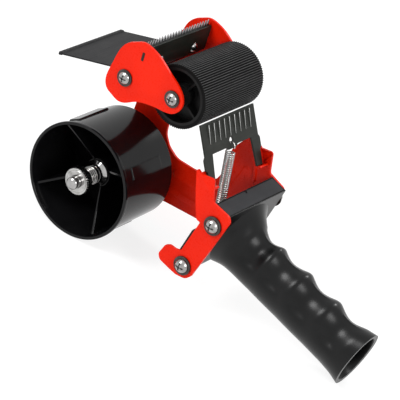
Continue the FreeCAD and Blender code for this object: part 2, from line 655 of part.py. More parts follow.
def wound(stops, wire):
    edges = []
    for (p0, t0), (p1, t1) in zip(stops, stops[1:]):
        edges += arc_pair(p0, t0, p1, t1)
    path = Part.Wire(edges)
    circle = Part.Wire([Part.makeCircle(wire / 2, stops[0][0], stops[0][1])])
    solid = Part.BRepOffsetAPI.MakePipeShell(path)
    solid.add(circle)
    solid.build()
    solid.makeSolid()
    points = []
    for edge in edges:
        points += edge.discretize(9)[:-1]
    return solid.shape(), points


# least gap of a tube to itself, between points further apart along it than a few wires
def own_gap(points, wire):
    run = [0.0]
    for p, q in zip(points, points[1:]):
        run.append(run[-1] + (q - p).Length)
    best = 1e9
    for i, p in enumerate(points):
        for j in range(i + 4, len(points)):
            if run[j] - run[i] > 3.5 * wire:
                best = min(best, (points[j] - p).Length)
    return best - wire


# brake spring, wound round the spindle between the thumb nut and the cup
brake_low = thrust_high + s.seat_gap
brake_high = cup_low - s.seat_gap
lead = s.brake_wire
stops = [(Vec(s.brake_radius, brake_low, 0), Vec(0, 1, 0)), (Vec(s.brake_radius, brake_low + lead, 0), Vec(0, 1, 0))]
first, last = brake_low + 2 * lead, brake_high - 2 * lead
quarter = 4 * counts["brake_turns"] - 2
rise = (last - first) / quarter
slope = Vec(0, rise, 0)
bend = 1.2 * lead / s.brake_radius / half
for k in [bend] + list(range(1, quarter)) + [quarter - bend]:
    angle = half * k
    flat = Vec(-math.sin(angle), 0, math.cos(angle)) * (s.brake_radius * half)
    stops.append((Vec(s.brake_radius * math.cos(angle), first + rise * k, s.brake_radius * math.sin(angle)),
                  (flat + slope).normalize()))
angle = half * quarter
end = Vec(s.brake_radius * math.cos(angle), 0, s.brake_radius * math.sin(angle))
stops += [(end + Vec(0, brake_high - lead, 0), Vec(0, 1, 0)), (end + Vec(0, brake_high, 0), Vec(0, 1, 0))]
brake, track = wound(stops, s.brake_wire)
print("brake_spring least gap to itself %.3f mm" % own_gap(track, s.brake_wire))
keep("brake_spring", brake)

# roller: grooved rubber sleeve on a plastic core
roll_low = -s.head_inner + s.roller_near_gap
roll_high = s.far_inner - s.roller_end_gap
core_radius = s.roller_radius - s.rubber
sleeve = body_of("roller_sleeve")
grown(sleeve, "Pad", "rubber", sketched(sleeve, "rubber_profile", "XZ_Plane", circles=[
    (0, 0, s.roller_radius), (0, 0, core_radius + s.seat_gap / 2)], lift=roll_low), roll_high - roll_low)
rim_cut(sleeve, "groove", s.roller_radius, s.groove_depth, s.grooves, 0.75, roll_low, roll_high)
place(sleeve, "roller_sleeve", s.roller_x, 0, s.roller_z)
core = cut_from("core_rim", cylinder("core_rim_disc", core_radius, roll_low, roll_high),
                [cylinder("core_rim_bore", core_radius - s.core_wall, roll_low - over, roll_high + over)])
bits = [core, cylinder("core_boss_rod", s.core_boss, roll_low + over, roll_high - over),
        cylinder("core_neck_rod", s.core_neck, -s.head_inner + s.roller_end_gap, roll_low + 2 * over)]
for end_low in (roll_low + s.core_setback, roll_high - s.core_setback - s.core_disc):
    bits.append(cylinder("core_disc_end", core_radius - s.core_wall / 2, end_low, end_low + s.core_disc))
for k in range(counts["roller_spokes"]):
    angle = turn * (k + 0.35) / counts["roller_spokes"]
    spoke = block_of("core_spoke_bar", core_radius - s.core_wall / 2, roll_high - roll_low - 2 * over, s.core_spoke,
                     s.core_spoke / -2 * math.sin(angle), roll_low + over, s.core_spoke / -2 * math.cos(angle))
    spoke.Placement.Rotation = FreeCAD.Rotation(Vec(0, 1, 0), math.degrees(angle))
    bits.append(spoke)
place(cut_from("roller_core", fused("core_blank", bits), [
    cylinder("core_bore", s.axle_radius + s.run_gap, -s.head_inner, roll_high + over)]),
      "roller_core", s.roller_x, 0, s.roller_z)

# axle and spacer, tapped at both ends for the head screws
thread = s.screw_radius + s.run_gap
for name, radius, x, z in (("roller_axle", s.axle_radius, s.roller_x, s.roller_z),
                           ("front_spacer", s.spacer_radius, s.front_x, s.front_z)):
    deep = s.screw_length
    place(cut_from(name, cylinder(name + "_bar", radius, axle_low, axle_high),
                   [cylinder(name + "_near", thread, axle_low - over, axle_low + deep),
                    cylinder(name + "_far", thread, axle_high - deep, axle_high + over)]), name, x, 0, z)


# domed screw with a cross recess, its head's seat on the origin and the head towards +Y
def dome_screw(name, radius, head, dome, depth):
    arc = (head * head + dome * dome) / (2 * dome)
    cap = doc.addObject("Part::Sphere", name + "_cap")
    cap.Placement = FreeCAD.Placement(Vec(), upright)
    bind(cap, "Radius", arc)
    rim = (arc - dome) / arc
    bind(cap, "Angle1", Sized(math.degrees(math.asin(rim)), "asin(%s)" % rim.text))
    stand(cap, 0, dome - arc, 0)
    blank = fused(name + "_blank", [cylinder(name + "_shank", radius, -depth, 0), cap])
    wide, tall = s.cross_width * head / s.screw_head, s.cross_reach * 2 * head / s.screw_head
    bars = [block_of(name + "_slot", w, s.cross_depth + over, h, w / -2, dome - s.cross_depth, h / -2)
            for w, h in ((wide, tall), (tall, wide))]
    return cut_from(name, blank, bars)


near_side, far_side = FreeCAD.Rotation(Vec(0, 0, 1), 180), FreeCAD.Rotation()
screws, washers = [], []
for x, z in ((s.roller_x, s.roller_z), (s.front_x, s.front_z)):
    for face, side in ((near_head_out, -1), (far_out, 1)):
        seat = face + side * s.seat_gap
        top = seat + side * s.tooth_washer_sheet
        low, high = (top, seat) if side < 0 else (seat, top)
        washers.append(washer("tooth_washer_ring", s.tooth_washer, s.screw_radius + s.seat_gap, low, high, x, z))
        screw = dome_screw("head_screw", s.screw_radius, s.screw_head, s.screw_dome, s.screw_length)
        screw.Placement.Rotation = near_side if side < 0 else far_side
        stand(screw, x, top + side * s.seat_gap, z)
        screws.append(screw)
place(grouped("head_screws", screws), "head_screws")
place(grouped("head_washers", washers), "head_washers")

# blade holder: upright wall, sloping foot and a tab through each head plate
holder_low = -s.head_inner + s.seat_gap
holder_high = s.far_inner - s.seat_gap
flap_root_z = s.front_z + s.spacer_radius + s.seat_gap * 3
flap_slope = math.atan2(flap_root_z - s.flap_tip_z, s.front_x - s.flap_tip_x)
fall = (flap_root_z - s.flap_tip_z) / (s.front_x - s.flap_tip_x)
slope_angle = Sized(math.degrees(flap_slope), "atan(%s)" % text_of(fall))
foot_top = flap_root_z + s.flap_sheet + s.seat_gap + s.holder_sheet


def foot_line(x, lift):
    return flap_root_z + (x - s.front_x) * fall + lift


wall_low_x = s.holder_x - s.holder_sheet
under = s.flap_sheet + s.seat_gap
left = s.holder_x - s.foot_length
holder = body_of("blade_holder")
bend = s.holder_sheet
grown(holder, "Pad", "bent_sheet", sketched(holder, "bent_profile", "XZ_Plane", [
    (s.holder_x, s.holder_top), (wall_low_x, s.holder_top),
    (wall_low_x, foot_line(wall_low_x, under + s.holder_sheet)),
    (left, foot_line(left, under + s.holder_sheet)), (left, foot_line(left, under)),
    (s.holder_x, foot_line(s.holder_x, under))], [0, 0, bend * 0.3, 0, 0, bend * 0.9], lift=holder_low),
    holder_high - holder_low)
tab_low = near_head_out - s.seat_gap * 2
grown(holder, "Pad", "tabs", sketched(holder, "tab_profile", "XZ_Plane", [
    (wall_low_x, s.tab_z - s.tab_height / 2), (s.holder_x, s.tab_z - s.tab_height / 2),
    (s.holder_x, s.tab_z + s.tab_height / 2), (wall_low_x, s.tab_z + s.tab_height / 2)], lift=tab_low),
    far_out - near_head_out + s.seat_gap * 4)
blade_bolts = [(-s.blade_screw_y, s.blade_screw_z), (s.blade_screw_y, s.blade_screw_z)]
rivet_x = s.front_x - s.spacer_radius - s.rivet_head - 4 * s.seat_gap
rivet_z = foot_line(rivet_x, s.flap_sheet / 2)


# holes for the blade's two screws and for the flap's three rivets
def bolt_holes_in(body, depth):
    grown(body, "Pocket", "screw_holes", sketched(body, "screw_hole_profile", "YZ_Plane", circles=[
        (y, z, s.blade_screw_radius + s.seat_gap) for y, z in blade_bolts],
        lift=wall_low_x - s.blade_sheet - over), depth)


def rivet_holes_in(body):
    grown(body, "Pocket", "rivet_holes", sketched(body, "rivet_hole_profile", "XY_Plane", circles=[
        (0, y, s.rivet_radius + s.seat_gap) for y in (-s.rivet_y, 0, s.rivet_y)], lean_angle=slope_angle,
        spot=(rivet_x, 0, rivet_z)), 4 * s.holder_sheet + s.flap_sheet, True)


bolt_holes_in(holder, 2 * s.foot_length)
rivet_holes_in(holder)
place(holder, "blade_holder")

# serrated blade on the back of the wall
blade_low_y, blade_high_y = holder_low + s.blade_gap, holder_high - s.blade_gap
wide = (blade_high_y - blade_low_y) / s.teeth
blade_x = wall_low_x - s.seat_gap - s.blade_sheet
blade = body_of("blade")
grown(blade, "Pad", "strip", sketched(blade, "strip_profile", "YZ_Plane", [
    (blade_low_y, s.blade_low), (blade_high_y, s.blade_low), (blade_high_y, s.holder_top),
    (blade_low_y, s.holder_top)], lift=blade_x), s.blade_sheet)
tooth = grown(blade, "Pad", "tooth", sketched(blade, "tooth_profile", "YZ_Plane", [
    (blade_low_y, s.holder_top - s.seat_gap), (blade_low_y + wide, s.holder_top - s.seat_gap),
    (blade_low_y + wide, s.holder_top), (blade_low_y + wide / 2, s.holder_top + s.tooth_height),
    (blade_low_y, s.holder_top)], lift=blade_x), s.blade_sheet)
rowed(blade, "tooth_row", [tooth], wide * (s.teeth - 1), s.teeth)
bolt_holes_in(blade, s.blade_sheet + 2 * over + s.holder_sheet)
place(blade, "blade")
bolts, nuts = [], []
for y, z in blade_bolts:
    screw = dome_screw("blade_screw", s.blade_screw_radius, s.blade_screw_head, s.blade_screw_dome,
                       s.holder_sheet + s.blade_sheet + 3 * s.seat_gap + s.blade_screw_head)
    screw.Placement.Rotation = FreeCAD.Rotation(Vec(0, 0, 1), -90)
    stand(screw, s.holder_x + s.seat_gap, y, z)
    bolts.append(screw)
    nut = hex_nut("blade_nut", s.blade_screw_head * 1.7, s.blade_screw_radius + s.run_gap, s.blade_screw_head * 0.7)
    nut.Placement.Rotation = FreeCAD.Rotation(Vec(0, 0, 1), 90)
    stand(nut, blade_x - s.seat_gap, y, z)
    nuts.append(nut)
place(grouped("blade_screws", bolts), "blade_screws")
place(grouped("blade_nuts", nuts), "blade_nuts")

# wiper flap: a springy sheet with a thick lip, riveted under the foot
flap_far_x = s.holder_x - s.holder_sheet
flap_middle = (s.far_inner - s.head_inner) / 2
lip = s.flap_lip
lip_x = s.flap_tip_x + s.flap_lip_width
crest_x = s.flap_tip_x + s.flap_lip_width * 0.8
flap = body_of("wiper_flap")
grown(flap, "Pad", "lipped_sheet", sketched(flap, "lipped_profile", "XZ_Plane", [
    (flap_far_x, foot_line(flap_far_x, 0)), (flap_far_x, foot_line(flap_far_x, s.flap_sheet)),
    (lip_x, foot_line(lip_x, s.flap_sheet)), (crest_x, foot_line(crest_x, lip * 0.8)),
    (s.flap_tip_x, foot_line(s.flap_tip_x, lip * 0.8)), (s.flap_tip_x, foot_line(s.flap_tip_x, lip * -0.2)),
    (crest_x, foot_line(crest_x, lip * -0.2)), (lip_x, foot_line(lip_x, 0))],
    [0, 0, 0, 0, lip * 0.2, lip * 0.2, 0, 0], lift=flap_middle - s.flap_width / 2), s.flap_width)
rivet_holes_in(flap)
place(flap, "wiper_flap")
studs = []
low = s.flap_sheet / 2 + s.seat_gap
high = s.flap_sheet / 2 + 2 * s.seat_gap + s.holder_sheet
for y in (-s.rivet_y, 0, s.rivet_y):
    stud = fused("rivet", [cylinder("rivet_shank", s.rivet_radius, -low, high),
                           cone("rivet_under", s.rivet_head * 0.7, s.rivet_head, -low - s.rivet_dome, -low),
                           cone("rivet_over", s.rivet_head, s.rivet_head * 0.6, high, high + s.rivet_dome)])
    stud.Placement.Rotation = FreeCAD.Rotation(Vec(0, -1, 0), slope_angle).multiply(upright.inverted())
    stand(stud, rivet_x, y, rivet_z)
    studs.append(stud)
place(grouped("flap_rivets", studs), "flap_rivets")

# handle: slab between the cheeks, boss round the lower screw, necked and grooved grip, hollow end
slab_low, slab_high = -s.cheek_inner + s.seat_gap, s.far_inner - s.seat_gap
rear = s.slab_front - s.slab_depth


def handle_wire(points, rounds):
    return outline([handle_point(a, n) for a, n in points], rounds)


block = slab_of(handle_wire([(rear, s.slab_top), (s.slab_front, s.slab_top), (s.slab_front, -s.slab_bottom),
                             (s.boss_front, -s.slab_bottom - s.cap_round), (s.boss_front, -s.screw_pitch),
                             (s.screw_lead, -s.screw_pitch - s.boss_radius),
                             (-s.boss_rear, -s.screw_pitch - s.boss_radius * 0.4),
                             (-s.boss_rear, -s.screw_pitch + s.boss_radius), (rear, -s.slab_bottom)],
                            [s.cap_round * 0.5, s.cap_round, s.cap_round, 0, s.boss_radius * 0.6, s.boss_radius,
                             s.boss_radius * 0.4, s.boss_radius * 0.4, s.boss_radius]), slab_low, slab_high)
# grip profile: share of its length, then half width, upper and lower half depth
end_along = s.slab_front - s.seat_gap + s.grip_length
end_low = (s.pivot_z + s.hub_rim_radius - end_along * math.sin(lean)) / math.cos(lean) - s.grip_drop
wide, deep, groove, peak = s.grip_half_width, s.grip_half_depth, s.groove_half, s.peak_half
grip_shares = [(0.0, s.root_half_width, s.root_half_depth, deep),
               (0.06, wide * 1.22, s.root_half_depth * 0.82, deep),
               (0.12, wide * 1.04, groove * 1.13, deep), (0.186, wide, groove, deep), (0.259, wide, peak, deep),
               (0.362, wide, groove, deep), (0.482, wide, peak, deep), (0.590, wide, groove, deep),
               (0.712, wide, peak, deep), (0.830, wide, groove, deep),
               (0.915, wide * 1.05, groove * 1.10, deep * 1.03),
               (1.0, s.end_half_width, s.end_half_depth, end_low)]
station_count = 36


# the profile between two entries follows half a cosine wave, sharper on the crests
def grip_at(share):
    for (a, *low_row), (b, *high_row) in zip(grip_shares, grip_shares[1:]):
        if share <= b + 1e-9:
            k = (share - a) / (b - a)
            k = (1 - math.cos(math.pi * k)) / 2 if 0.13 < b < 0.9 else k
            return [p + (q - p) * k for p, q in zip(low_row, high_row)]
    return list(grip_shares[-1][1:])


def section(share, wide, high, low, inset=0.0):
    ring = []
    along = s.slab_front - s.seat_gap + share * s.grip_length
    for k in range(20):
        angle = turn * k / 20
        c, d = math.cos(angle), math.sin(angle)
        y = (wide - inset) * math.copysign(abs(c) ** 0.86, c)
        n = ((high if d > 0 else low) - inset) * math.copysign(abs(d) ** 0.86, d)
        x, z = handle_point(along, -s.grip_drop + n)
        ring.append(Vec(x, y, z))
    curve = Part.BSplineCurve()
    curve.interpolate(ring, True)
    return Part.Wire([curve.toShape()])


middle_y = (slab_low + slab_high) / 2
stations = [k / station_count for k in range(station_count + 1)]
grip = Part.makeLoft([section(k, *grip_at(k)) for k in stations], True, False)
bore_start = 1 - s.bore_depth / s.grip_length
inner = [(bore_start, wide * 0.95, groove * 0.93, deep * 0.95), (0.5 + bore_start / 2, wide, groove, deep),
         (0.91, wide, groove, deep), (1.0, s.end_half_width, s.end_half_depth, end_low),
         (1.0 + over / s.grip_length, s.end_half_width * 1.02, s.end_half_depth * 1.02, end_low * 1.02)]
hollow = Part.makeLoft([section(*station, s.grip_wall) for station in inner], True, True)
handle = spread(block, [grip.translated(Vec(0, middle_y, 0))]).cut(hollow.translated(Vec(0, middle_y, 0)))

# a pair of lugs behind the slab that carry the pin of the tension spring
lugs = []
for side in (-1, 1):
    y0 = side * s.lug_gap / 2 if side > 0 else -s.lug_gap / 2 - s.lug_sheet
    tip_x, tip, root = s.pin_x - s.pin_radius * 2, s.pin_radius * 2, s.lug_height * 0.8
    wire = outline([(tip_x, s.pin_z - tip), (tip_x, s.pin_z + tip), (s.pin_x + s.lug_reach, s.pin_z + root),
                    (s.pin_x + s.lug_reach, s.pin_z - root)], [s.pin_radius * 1.6, s.pin_radius * 1.6, 0, 0])
    lugs.append(slab_of(wire, y0, y0 + s.lug_sheet))
pin_reach = s.lug_gap / 2 + s.lug_sheet + s.pin_over
handle = spread(handle, lugs)
handle = without(handle, bolt_holes + [rod(s.pin_radius + s.seat_gap / 2, -pin_reach, pin_reach, s.pin_x, s.pin_z)])
nick_x, nick_z = handle_point(rear, s.slab_top)
handle = handle.cut(Part.makeBox(s.nick * 2, s.nick, s.nick,
                                 Vec(nick_x - s.nick * 0.6, -s.nick / 2, nick_z - s.nick * 0.7)))
keep("handle", handle)
place(cylinder("spring_pin", s.pin_radius, s.seat_gap - pin_reach, pin_reach - s.seat_gap), "spring_pin",
      s.pin_x, s.seat_gap - pin_reach, s.pin_z)

# bolts through both cheeks and the handle, with washers and nuts
bolts, rings, nuts = [], [], []
for x, z in ((s.pivot_x, s.pivot_z), low_screw):
    near = near_cheek_out - s.seat_gap
    far = far_out + s.seat_gap
    hole = s.cheek_screw_radius + s.seat_gap
    rings.append(washer("near_ring", s.cheek_washer, hole, near - s.cheek_washer_sheet, near, x, z))
    rings.append(washer("far_ring", s.cheek_washer, hole, far, far + s.cheek_washer_sheet, x, z))
    head = near - s.cheek_washer_sheet - s.seat_gap
    nut = far + s.cheek_washer_sheet + s.seat_gap
    bolt = dome_screw("cheek_bolt", s.cheek_screw_radius, s.cheek_screw_head, s.cheek_screw_dome,
                      nut + s.cheek_nut + s.stud_over - head)
    bolt.Placement.Rotation = near_side
    stand(bolt, x, head, z)
    bolts.append(bolt)
    lock = hex_nut("cheek_nut", s.cheek_nut_across, s.cheek_screw_radius + s.run_gap, s.cheek_nut)
    stand(lock, x, nut, z)
    nuts.append(lock)
place(grouped("cheek_bolts", bolts), "cheek_bolts")
place(grouped("cheek_washers", rings), "cheek_washers")
place(grouped("cheek_nuts", nuts), "cheek_nuts")

# tension plate, drawn flat: across it is Y, up it is Z, then leaned back on its feet;
# it reaches up to its clearance under the roller
up_to_axle = (s.plate_foot_x - s.roller_x) * -along_plate[0] + (s.roller_z - s.plate_foot_z) * along_plate[1]
off_axle = (s.roller_x - s.plate_foot_x) * off_plate[0] + (s.roller_z - s.plate_foot_z) * off_plate[1]
to_roller = s.roller_radius + s.plate_clear
square = to_roller * to_roller - off_axle * off_axle
plate_height = up_to_axle - Sized(math.sqrt(square), "sqrt(%s)" % text_of(square))
plate_low, plate_high = -s.plate_width / 2, s.plate_width / 2
shoulder_up = s.leg_length
half_edge = [(-s.hole_radius * 3, shoulder_up), (plate_low + s.leg_width, shoulder_up),
             (plate_low + s.leg_foot_width, 0), (plate_low + s.side_inset, 0),
             (plate_low + s.side_inset, shoulder_up * 0.50), (plate_low, shoulder_up * 0.56),
             (plate_low, shoulder_up * 0.90), (plate_low + s.side_inset, shoulder_up),
             (plate_low + s.side_inset, plate_height)]
edge = half_edge + [(-y, z) for y, z in reversed(half_edge)]
edge += [(s.hole_radius * 2, shoulder_up - s.tab_drop), (-s.hole_radius * 2, shoulder_up - s.tab_drop)]
plate = body_of("tension_plate")
grown(plate, "Pad", "sheet_steel", sketched(plate, "plate_profile", "YZ_Plane", edge), s.plate_sheet, True)
gap = (s.plate_width - 2 * s.leg_width * 0.6) / s.ribs
first_rib = gap * (1 - s.ribs) / 2
face = s.plate_sheet / 2 - s.rib_rise * 0.3
ends = []
for name, z, share in (("rib_top", plate_height - s.plate_sheet, 1.0),
                       ("rib_foot", plate_height - s.rib_length, 0.25)):
    w = s.rib_width * share / 2
    crest = face + s.rib_rise * (0.3 + share)
    ends.append(sketched(plate, name, "XY_Plane", [(face, first_rib - w), (crest, first_rib), (face, first_rib + w)],
                         lift=z))
rib = plate.newObject("PartDesign::AdditiveLoft", "rib")
rib.Profile = ends[0]
rib.Sections = [ends[1]]
rib.Ruled = True
rowed(plate, "rib_row", [rib], gap * (s.ribs - 1), s.ribs)
grown(plate, "Pocket", "hook_hole", sketched(plate, "hook_hole_profile", "YZ_Plane", circles=[
    (0, s.hole_height, s.hole_radius)]), s.plate_sheet + 2 * over, True)
plate.Placement.Rotation = FreeCAD.Rotation(Vec(0, -1, 0), float(s.plate_lean))
bind(plate, "Placement.Rotation.Angle", s.plate_lean)
place(plate, "tension_plate", s.plate_foot_x, 0, s.plate_foot_z)

# tension spring: close coil, one hook through the hole and under the edge of the plate, one round the pin
wire = s.coil_wire
through = s.hole_height - s.hole_radius + wire / 2 + s.pocket_gap
below = s.leg_length - s.tab_drop - wire / 2 - s.pocket_gap
loop = (through - below) / 2
hook_x, hook_z = plate_point((through + below) / 2, 0)
top_point = Vec(hook_x, 0, hook_z)
low_point = Vec(s.pin_x, 0, s.pin_z)
axis = (top_point - low_point).normalize()
cross = Vec(0, 1, 0)
side = axis.cross(cross).normalize()
length = (top_point - low_point).Length
coil_low = (length - s.coil_pitch * counts["coil_turns"]) / 2
coil_high = length - coil_low


def spot(along, a, b):
    return low_point + axis * along + side * a + cross * b


r = s.coil_radius
hook = s.pin_radius + wire / 2 + s.pocket_gap
stops = [(spot(hook * 0.5, -hook, 0), -axis), (spot(0, -hook, 0), -axis), (spot(-hook, 0, 0), side),
         (spot(0, hook, 0), axis)]
stops += [(spot(coil_low * 0.5, r * 0.9, 0), axis)]
for k in range(4 * counts["coil_turns"] + 1):
    angle = half * k
    way = (cross * math.cos(angle) - side * math.sin(angle)) * (r * half) + axis * (s.coil_pitch / 4)
    stops.append((spot(coil_low + s.coil_pitch * k / 4, r * math.cos(angle), r * math.sin(angle)), way.normalize()))
stops += [(spot(length - (coil_low + loop) * 0.5, r * 0.9, 0), axis), (spot(length, loop, 0), axis),
          (spot(length + loop, 0, 0), -side), (spot(length, -loop, 0), -axis), (spot(length - wire, -loop, 0), -axis)]
spring, track = wound(stops, wire)
print("tension_spring least gap to itself %.3f mm" % own_gap(track, wire))
keep("tension_spring", spring)

doc.recompute()
for piece in doc.Objects:
    if "Invalid" in piece.State or "Error" in piece.State:
        raise RuntimeError("%s did not build" % piece.Label)
for piece in made:
    if not piece.Shape.isValid() or piece.Shape.Volume <= 0:
        raise RuntimeError("%s is not a valid solid" % piece.Label)
os.makedirs("parts", exist_ok=True)
for piece in made:
    piece.Shape.exportStep("parts/%s.step" % piece.Label)
box = FreeCAD.BoundBox()
for piece in made:
    box.add(piece.Shape.BoundBox)
print("%d pieces, %.2f %.2f %.2f to %.2f %.2f %.2f" % (
    len(made), box.XMin, box.YMin, box.ZMin, box.XMax, box.YMax, box.ZMax))
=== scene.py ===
import bpy
import json
import math
from mathutils import Euler, Matrix, Vector

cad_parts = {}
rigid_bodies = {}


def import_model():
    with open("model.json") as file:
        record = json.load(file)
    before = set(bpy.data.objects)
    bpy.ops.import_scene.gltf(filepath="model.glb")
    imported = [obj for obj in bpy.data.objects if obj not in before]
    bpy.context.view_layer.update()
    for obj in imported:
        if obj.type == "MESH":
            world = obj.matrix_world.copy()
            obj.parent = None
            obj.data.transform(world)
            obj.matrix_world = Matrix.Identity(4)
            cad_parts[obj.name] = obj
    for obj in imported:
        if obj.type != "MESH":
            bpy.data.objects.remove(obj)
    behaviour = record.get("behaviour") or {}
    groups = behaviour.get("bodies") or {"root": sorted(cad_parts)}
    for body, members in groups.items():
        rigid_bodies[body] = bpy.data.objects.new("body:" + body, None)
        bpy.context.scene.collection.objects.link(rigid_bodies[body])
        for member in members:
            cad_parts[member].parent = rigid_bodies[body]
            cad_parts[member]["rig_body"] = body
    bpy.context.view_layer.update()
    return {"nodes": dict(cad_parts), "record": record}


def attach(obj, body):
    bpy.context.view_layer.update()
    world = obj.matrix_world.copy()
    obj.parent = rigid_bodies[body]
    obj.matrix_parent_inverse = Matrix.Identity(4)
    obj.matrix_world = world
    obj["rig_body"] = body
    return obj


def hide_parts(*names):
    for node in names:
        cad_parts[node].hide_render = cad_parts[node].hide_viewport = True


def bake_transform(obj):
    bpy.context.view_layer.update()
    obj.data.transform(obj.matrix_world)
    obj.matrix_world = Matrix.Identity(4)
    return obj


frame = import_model()
scene = bpy.context.scene
nodes = frame["nodes"]
print("frame loaded:", len(nodes), "nodes")

# sizes are in millimetres, and places count from the hub's axis as x, y, z unless a note says otherwise
hubPlace = Vector((-0.08489, 0.00013, 0.0376))
rollerPlace = hubPlace + Vector((0.0521, 0, 0.0902))
cheekFaces = {"near": -29.3, "far": 30.1}  # y of the handle's two sides, just inside the cheeks
mergeReach = {"node": 0.000004, "turned": 0.000002}  # in metres
flatAngle = 0.5  # in degrees, faces nearer than this to level with each other become one


def at(x, y, z):
    return hubPlace + Vector((x, y, z)) / 1000


def spotOf(co):
    return (co - hubPlace) * 1000


def onlySelect(*pieces):
    bpy.ops.object.select_all(action="DESELECT")
    for piece in pieces:
        piece.select_set(True)
    bpy.context.view_layer.objects.active = pieces[0]


def editMode(piece):
    onlySelect(piece)
    bpy.ops.object.mode_set(mode="EDIT")


def objectMode():
    bpy.ops.object.mode_set(mode="OBJECT")


def settled(piece):
    onlySelect(piece)
    bpy.ops.object.transform_apply(location=True, rotation=True, scale=True)
    return piece


def bodyOf(node):
    return nodes[node]["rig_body"]


def slotOf(node):
    return [part for part in frame["record"]["subparts"] if part["node"] == node][0]["material_slot"]


def paint(piece, *kinds):
    piece.data.materials.clear()
    for kind in kinds:
        piece.data.materials.append(materials[kind])


# smooth shading between sharp edges, with broad faces kept flat
def smoothed(piece, angle):
    onlySelect(piece)
    bpy.ops.object.shade_smooth_by_angle(angle=math.radians(angle))
    weighted = piece.modifiers.new("weighted", "WEIGHTED_NORMAL")
    weighted.keep_sharp = True
    bpy.ops.object.modifier_apply(modifier=weighted.name)


# rounds every edge that is sharper than the limit, in degrees
def hardEdgesRounded(piece, width, segments, limit):
    bevel = piece.modifiers.new("edges", "BEVEL")
    bevel.width = width / 1000
    bevel.segments = segments
    bevel.limit_method = "ANGLE"
    bevel.angle_limit = math.radians(limit)
    onlySelect(piece)
    bpy.ops.object.modifier_apply(modifier=bevel.name)


# a merged copy of a node's own mesh, its hard edges rounded, standing for the node
def softened(node, spec, loose=False):
    piece = bpy.data.objects.new(node + "_soft", nodes[node].data.copy())
    scene.collection.objects.link(piece)
    editMode(piece)
    bpy.ops.mesh.select_all(action="SELECT")
    bpy.ops.mesh.remove_doubles(threshold=mergeReach["node"])
    bpy.ops.mesh.dissolve_limited(angle_limit=math.radians(flatAngle))
    bpy.ops.mesh.select_all(action="DESELECT")
    objectMode()
    if "round" in spec:
        hardEdgesRounded(piece, spec["round"], spec["segments"], spec.get("limit", 35))
    smoothed(piece, spec.get("smooth", 50))
    if not loose:  # a loose piece rides on nothing
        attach(piece, bodyOf(node))
    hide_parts(node)
    paint(piece, slotFinish[slotOf(node)])
    print("rounded", node, len(piece.data.polygons), "faces")
    return piece


# rounds and smooths a new piece, names it after its node, hides the node and ties the piece to the node's body
def finished(piece, node, spec):
    piece.name = node + "_look"
    width, segments, limit, smooth = spec["edges"]
    hardEdgesRounded(piece, width, segments, limit)
    smoothed(piece, smooth)
    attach(piece, bodyOf(node))
    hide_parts(node)
    if "finish" in spec:
        paint(piece, spec["finish"])
    print("made", piece.name, len(piece.data.polygons), "faces")


def joined(pieces):
    onlySelect(*pieces)
    bpy.ops.object.join()
    return bpy.context.object


def copied(piece, change):
    twin = piece.copy()
    twin.data = piece.data.copy()
    scene.collection.objects.link(twin)
    twin.data.transform(change)
    return twin


def aboutHub(angle):
    return Matrix.Translation(hubPlace) @ Matrix.Rotation(angle, 4, "Y") @ Matrix.Translation(-hubPlace)


# edit mode with only the points that the test picks, by their place from the hub or local to the piece
def picked(piece, test, local=False):
    onlySelect(piece)
    data = piece.data
    for vertex in data.vertices:
        vertex.select = bool(test(vertex.co * 1000 if local else spotOf(vertex.co)))
    for edge in data.edges:
        edge.select = all(data.vertices[k].select for k in edge.vertices)
    for polygon in data.polygons:
        polygon.select = all(data.vertices[k].select for k in polygon.vertices)
    bpy.ops.object.mode_set(mode="EDIT")


def moved(piece, test, shift, local=False):
    picked(piece, test, local)
    bpy.ops.transform.translate(value=Vector(shift) / 1000)
    objectMode()


def edgesRounded(piece, test, radius, segments, local=False):
    picked(piece, test, local)
    bpy.ops.mesh.bevel(offset=radius / 1000, segments=segments, affect="EDGES")
    objectMode()


# a circle round the hub's axis, extruded and scaled along a closed profile of radius and y
def turned(profile, steps, ring=True):
    radius, along = profile[0]
    bpy.ops.object.select_all(action="DESELECT")
    bpy.ops.mesh.primitive_circle_add(vertices=steps, radius=radius / 1000, location=at(0, along, 0),
                                      rotation=(math.pi / 2, 0, 0))
    piece = settled(bpy.context.object)
    editMode(piece)
    bpy.ops.mesh.select_all(action="SELECT")
    for nextRadius, nextAlong in profile[1:] + (profile[:1] if ring else []):
        move = (0, (nextAlong - along) / 1000, 0)
        bpy.ops.mesh.extrude_region_move(TRANSFORM_OT_translate={"value": move})
        share = nextRadius / radius
        bpy.ops.transform.resize(value=(share, 1, share), center_override=at(0, nextAlong, 0))
        radius, along = nextRadius, nextAlong
    bpy.ops.mesh.select_all(action="SELECT")
    bpy.ops.mesh.remove_doubles(threshold=mergeReach["turned"])
    if not ring:
        bpy.ops.mesh.fill_holes(sides=0)
    bpy.ops.mesh.normals_make_consistent(inside=False)
    bpy.ops.mesh.select_all(action="DESELECT")
    objectMode()
    return piece


# a block between two corners, from the hub's axis or from the world's middle
def block(low, high, local=False):
    low, high = Vector(low), Vector(high)
    middle = (low + high) / 2
    bpy.ops.object.select_all(action="DESELECT")
    bpy.ops.mesh.primitive_cube_add(size=0.001, location=middle / 1000 if local else at(*middle), scale=high - low)
    return settled(bpy.context.object)


def newNode(tree, kind, values=None, **settings):
    made = tree.nodes.new(kind)
    for key, value in settings.items():
        setattr(made, key, value)
    for key, value in (values or {}).items():
        made.inputs[key].default_value = value
    return made


def noise(tree, coords, size, detail, rough, stretch=(1, 1, 1), turn=(0, 0, 0)):
    place = newNode(tree, "ShaderNodeMapping", {"Scale": stretch, "Rotation": turn})
    grain = newNode(tree, "ShaderNodeTexNoise", {"Scale": 1 / size, "Detail": detail, "Roughness": rough})
    tree.links.new(coords, place.inputs["Vector"])
    tree.links.new(place.outputs["Vector"], grain.inputs["Vector"])
    return grain.outputs["Fac"]


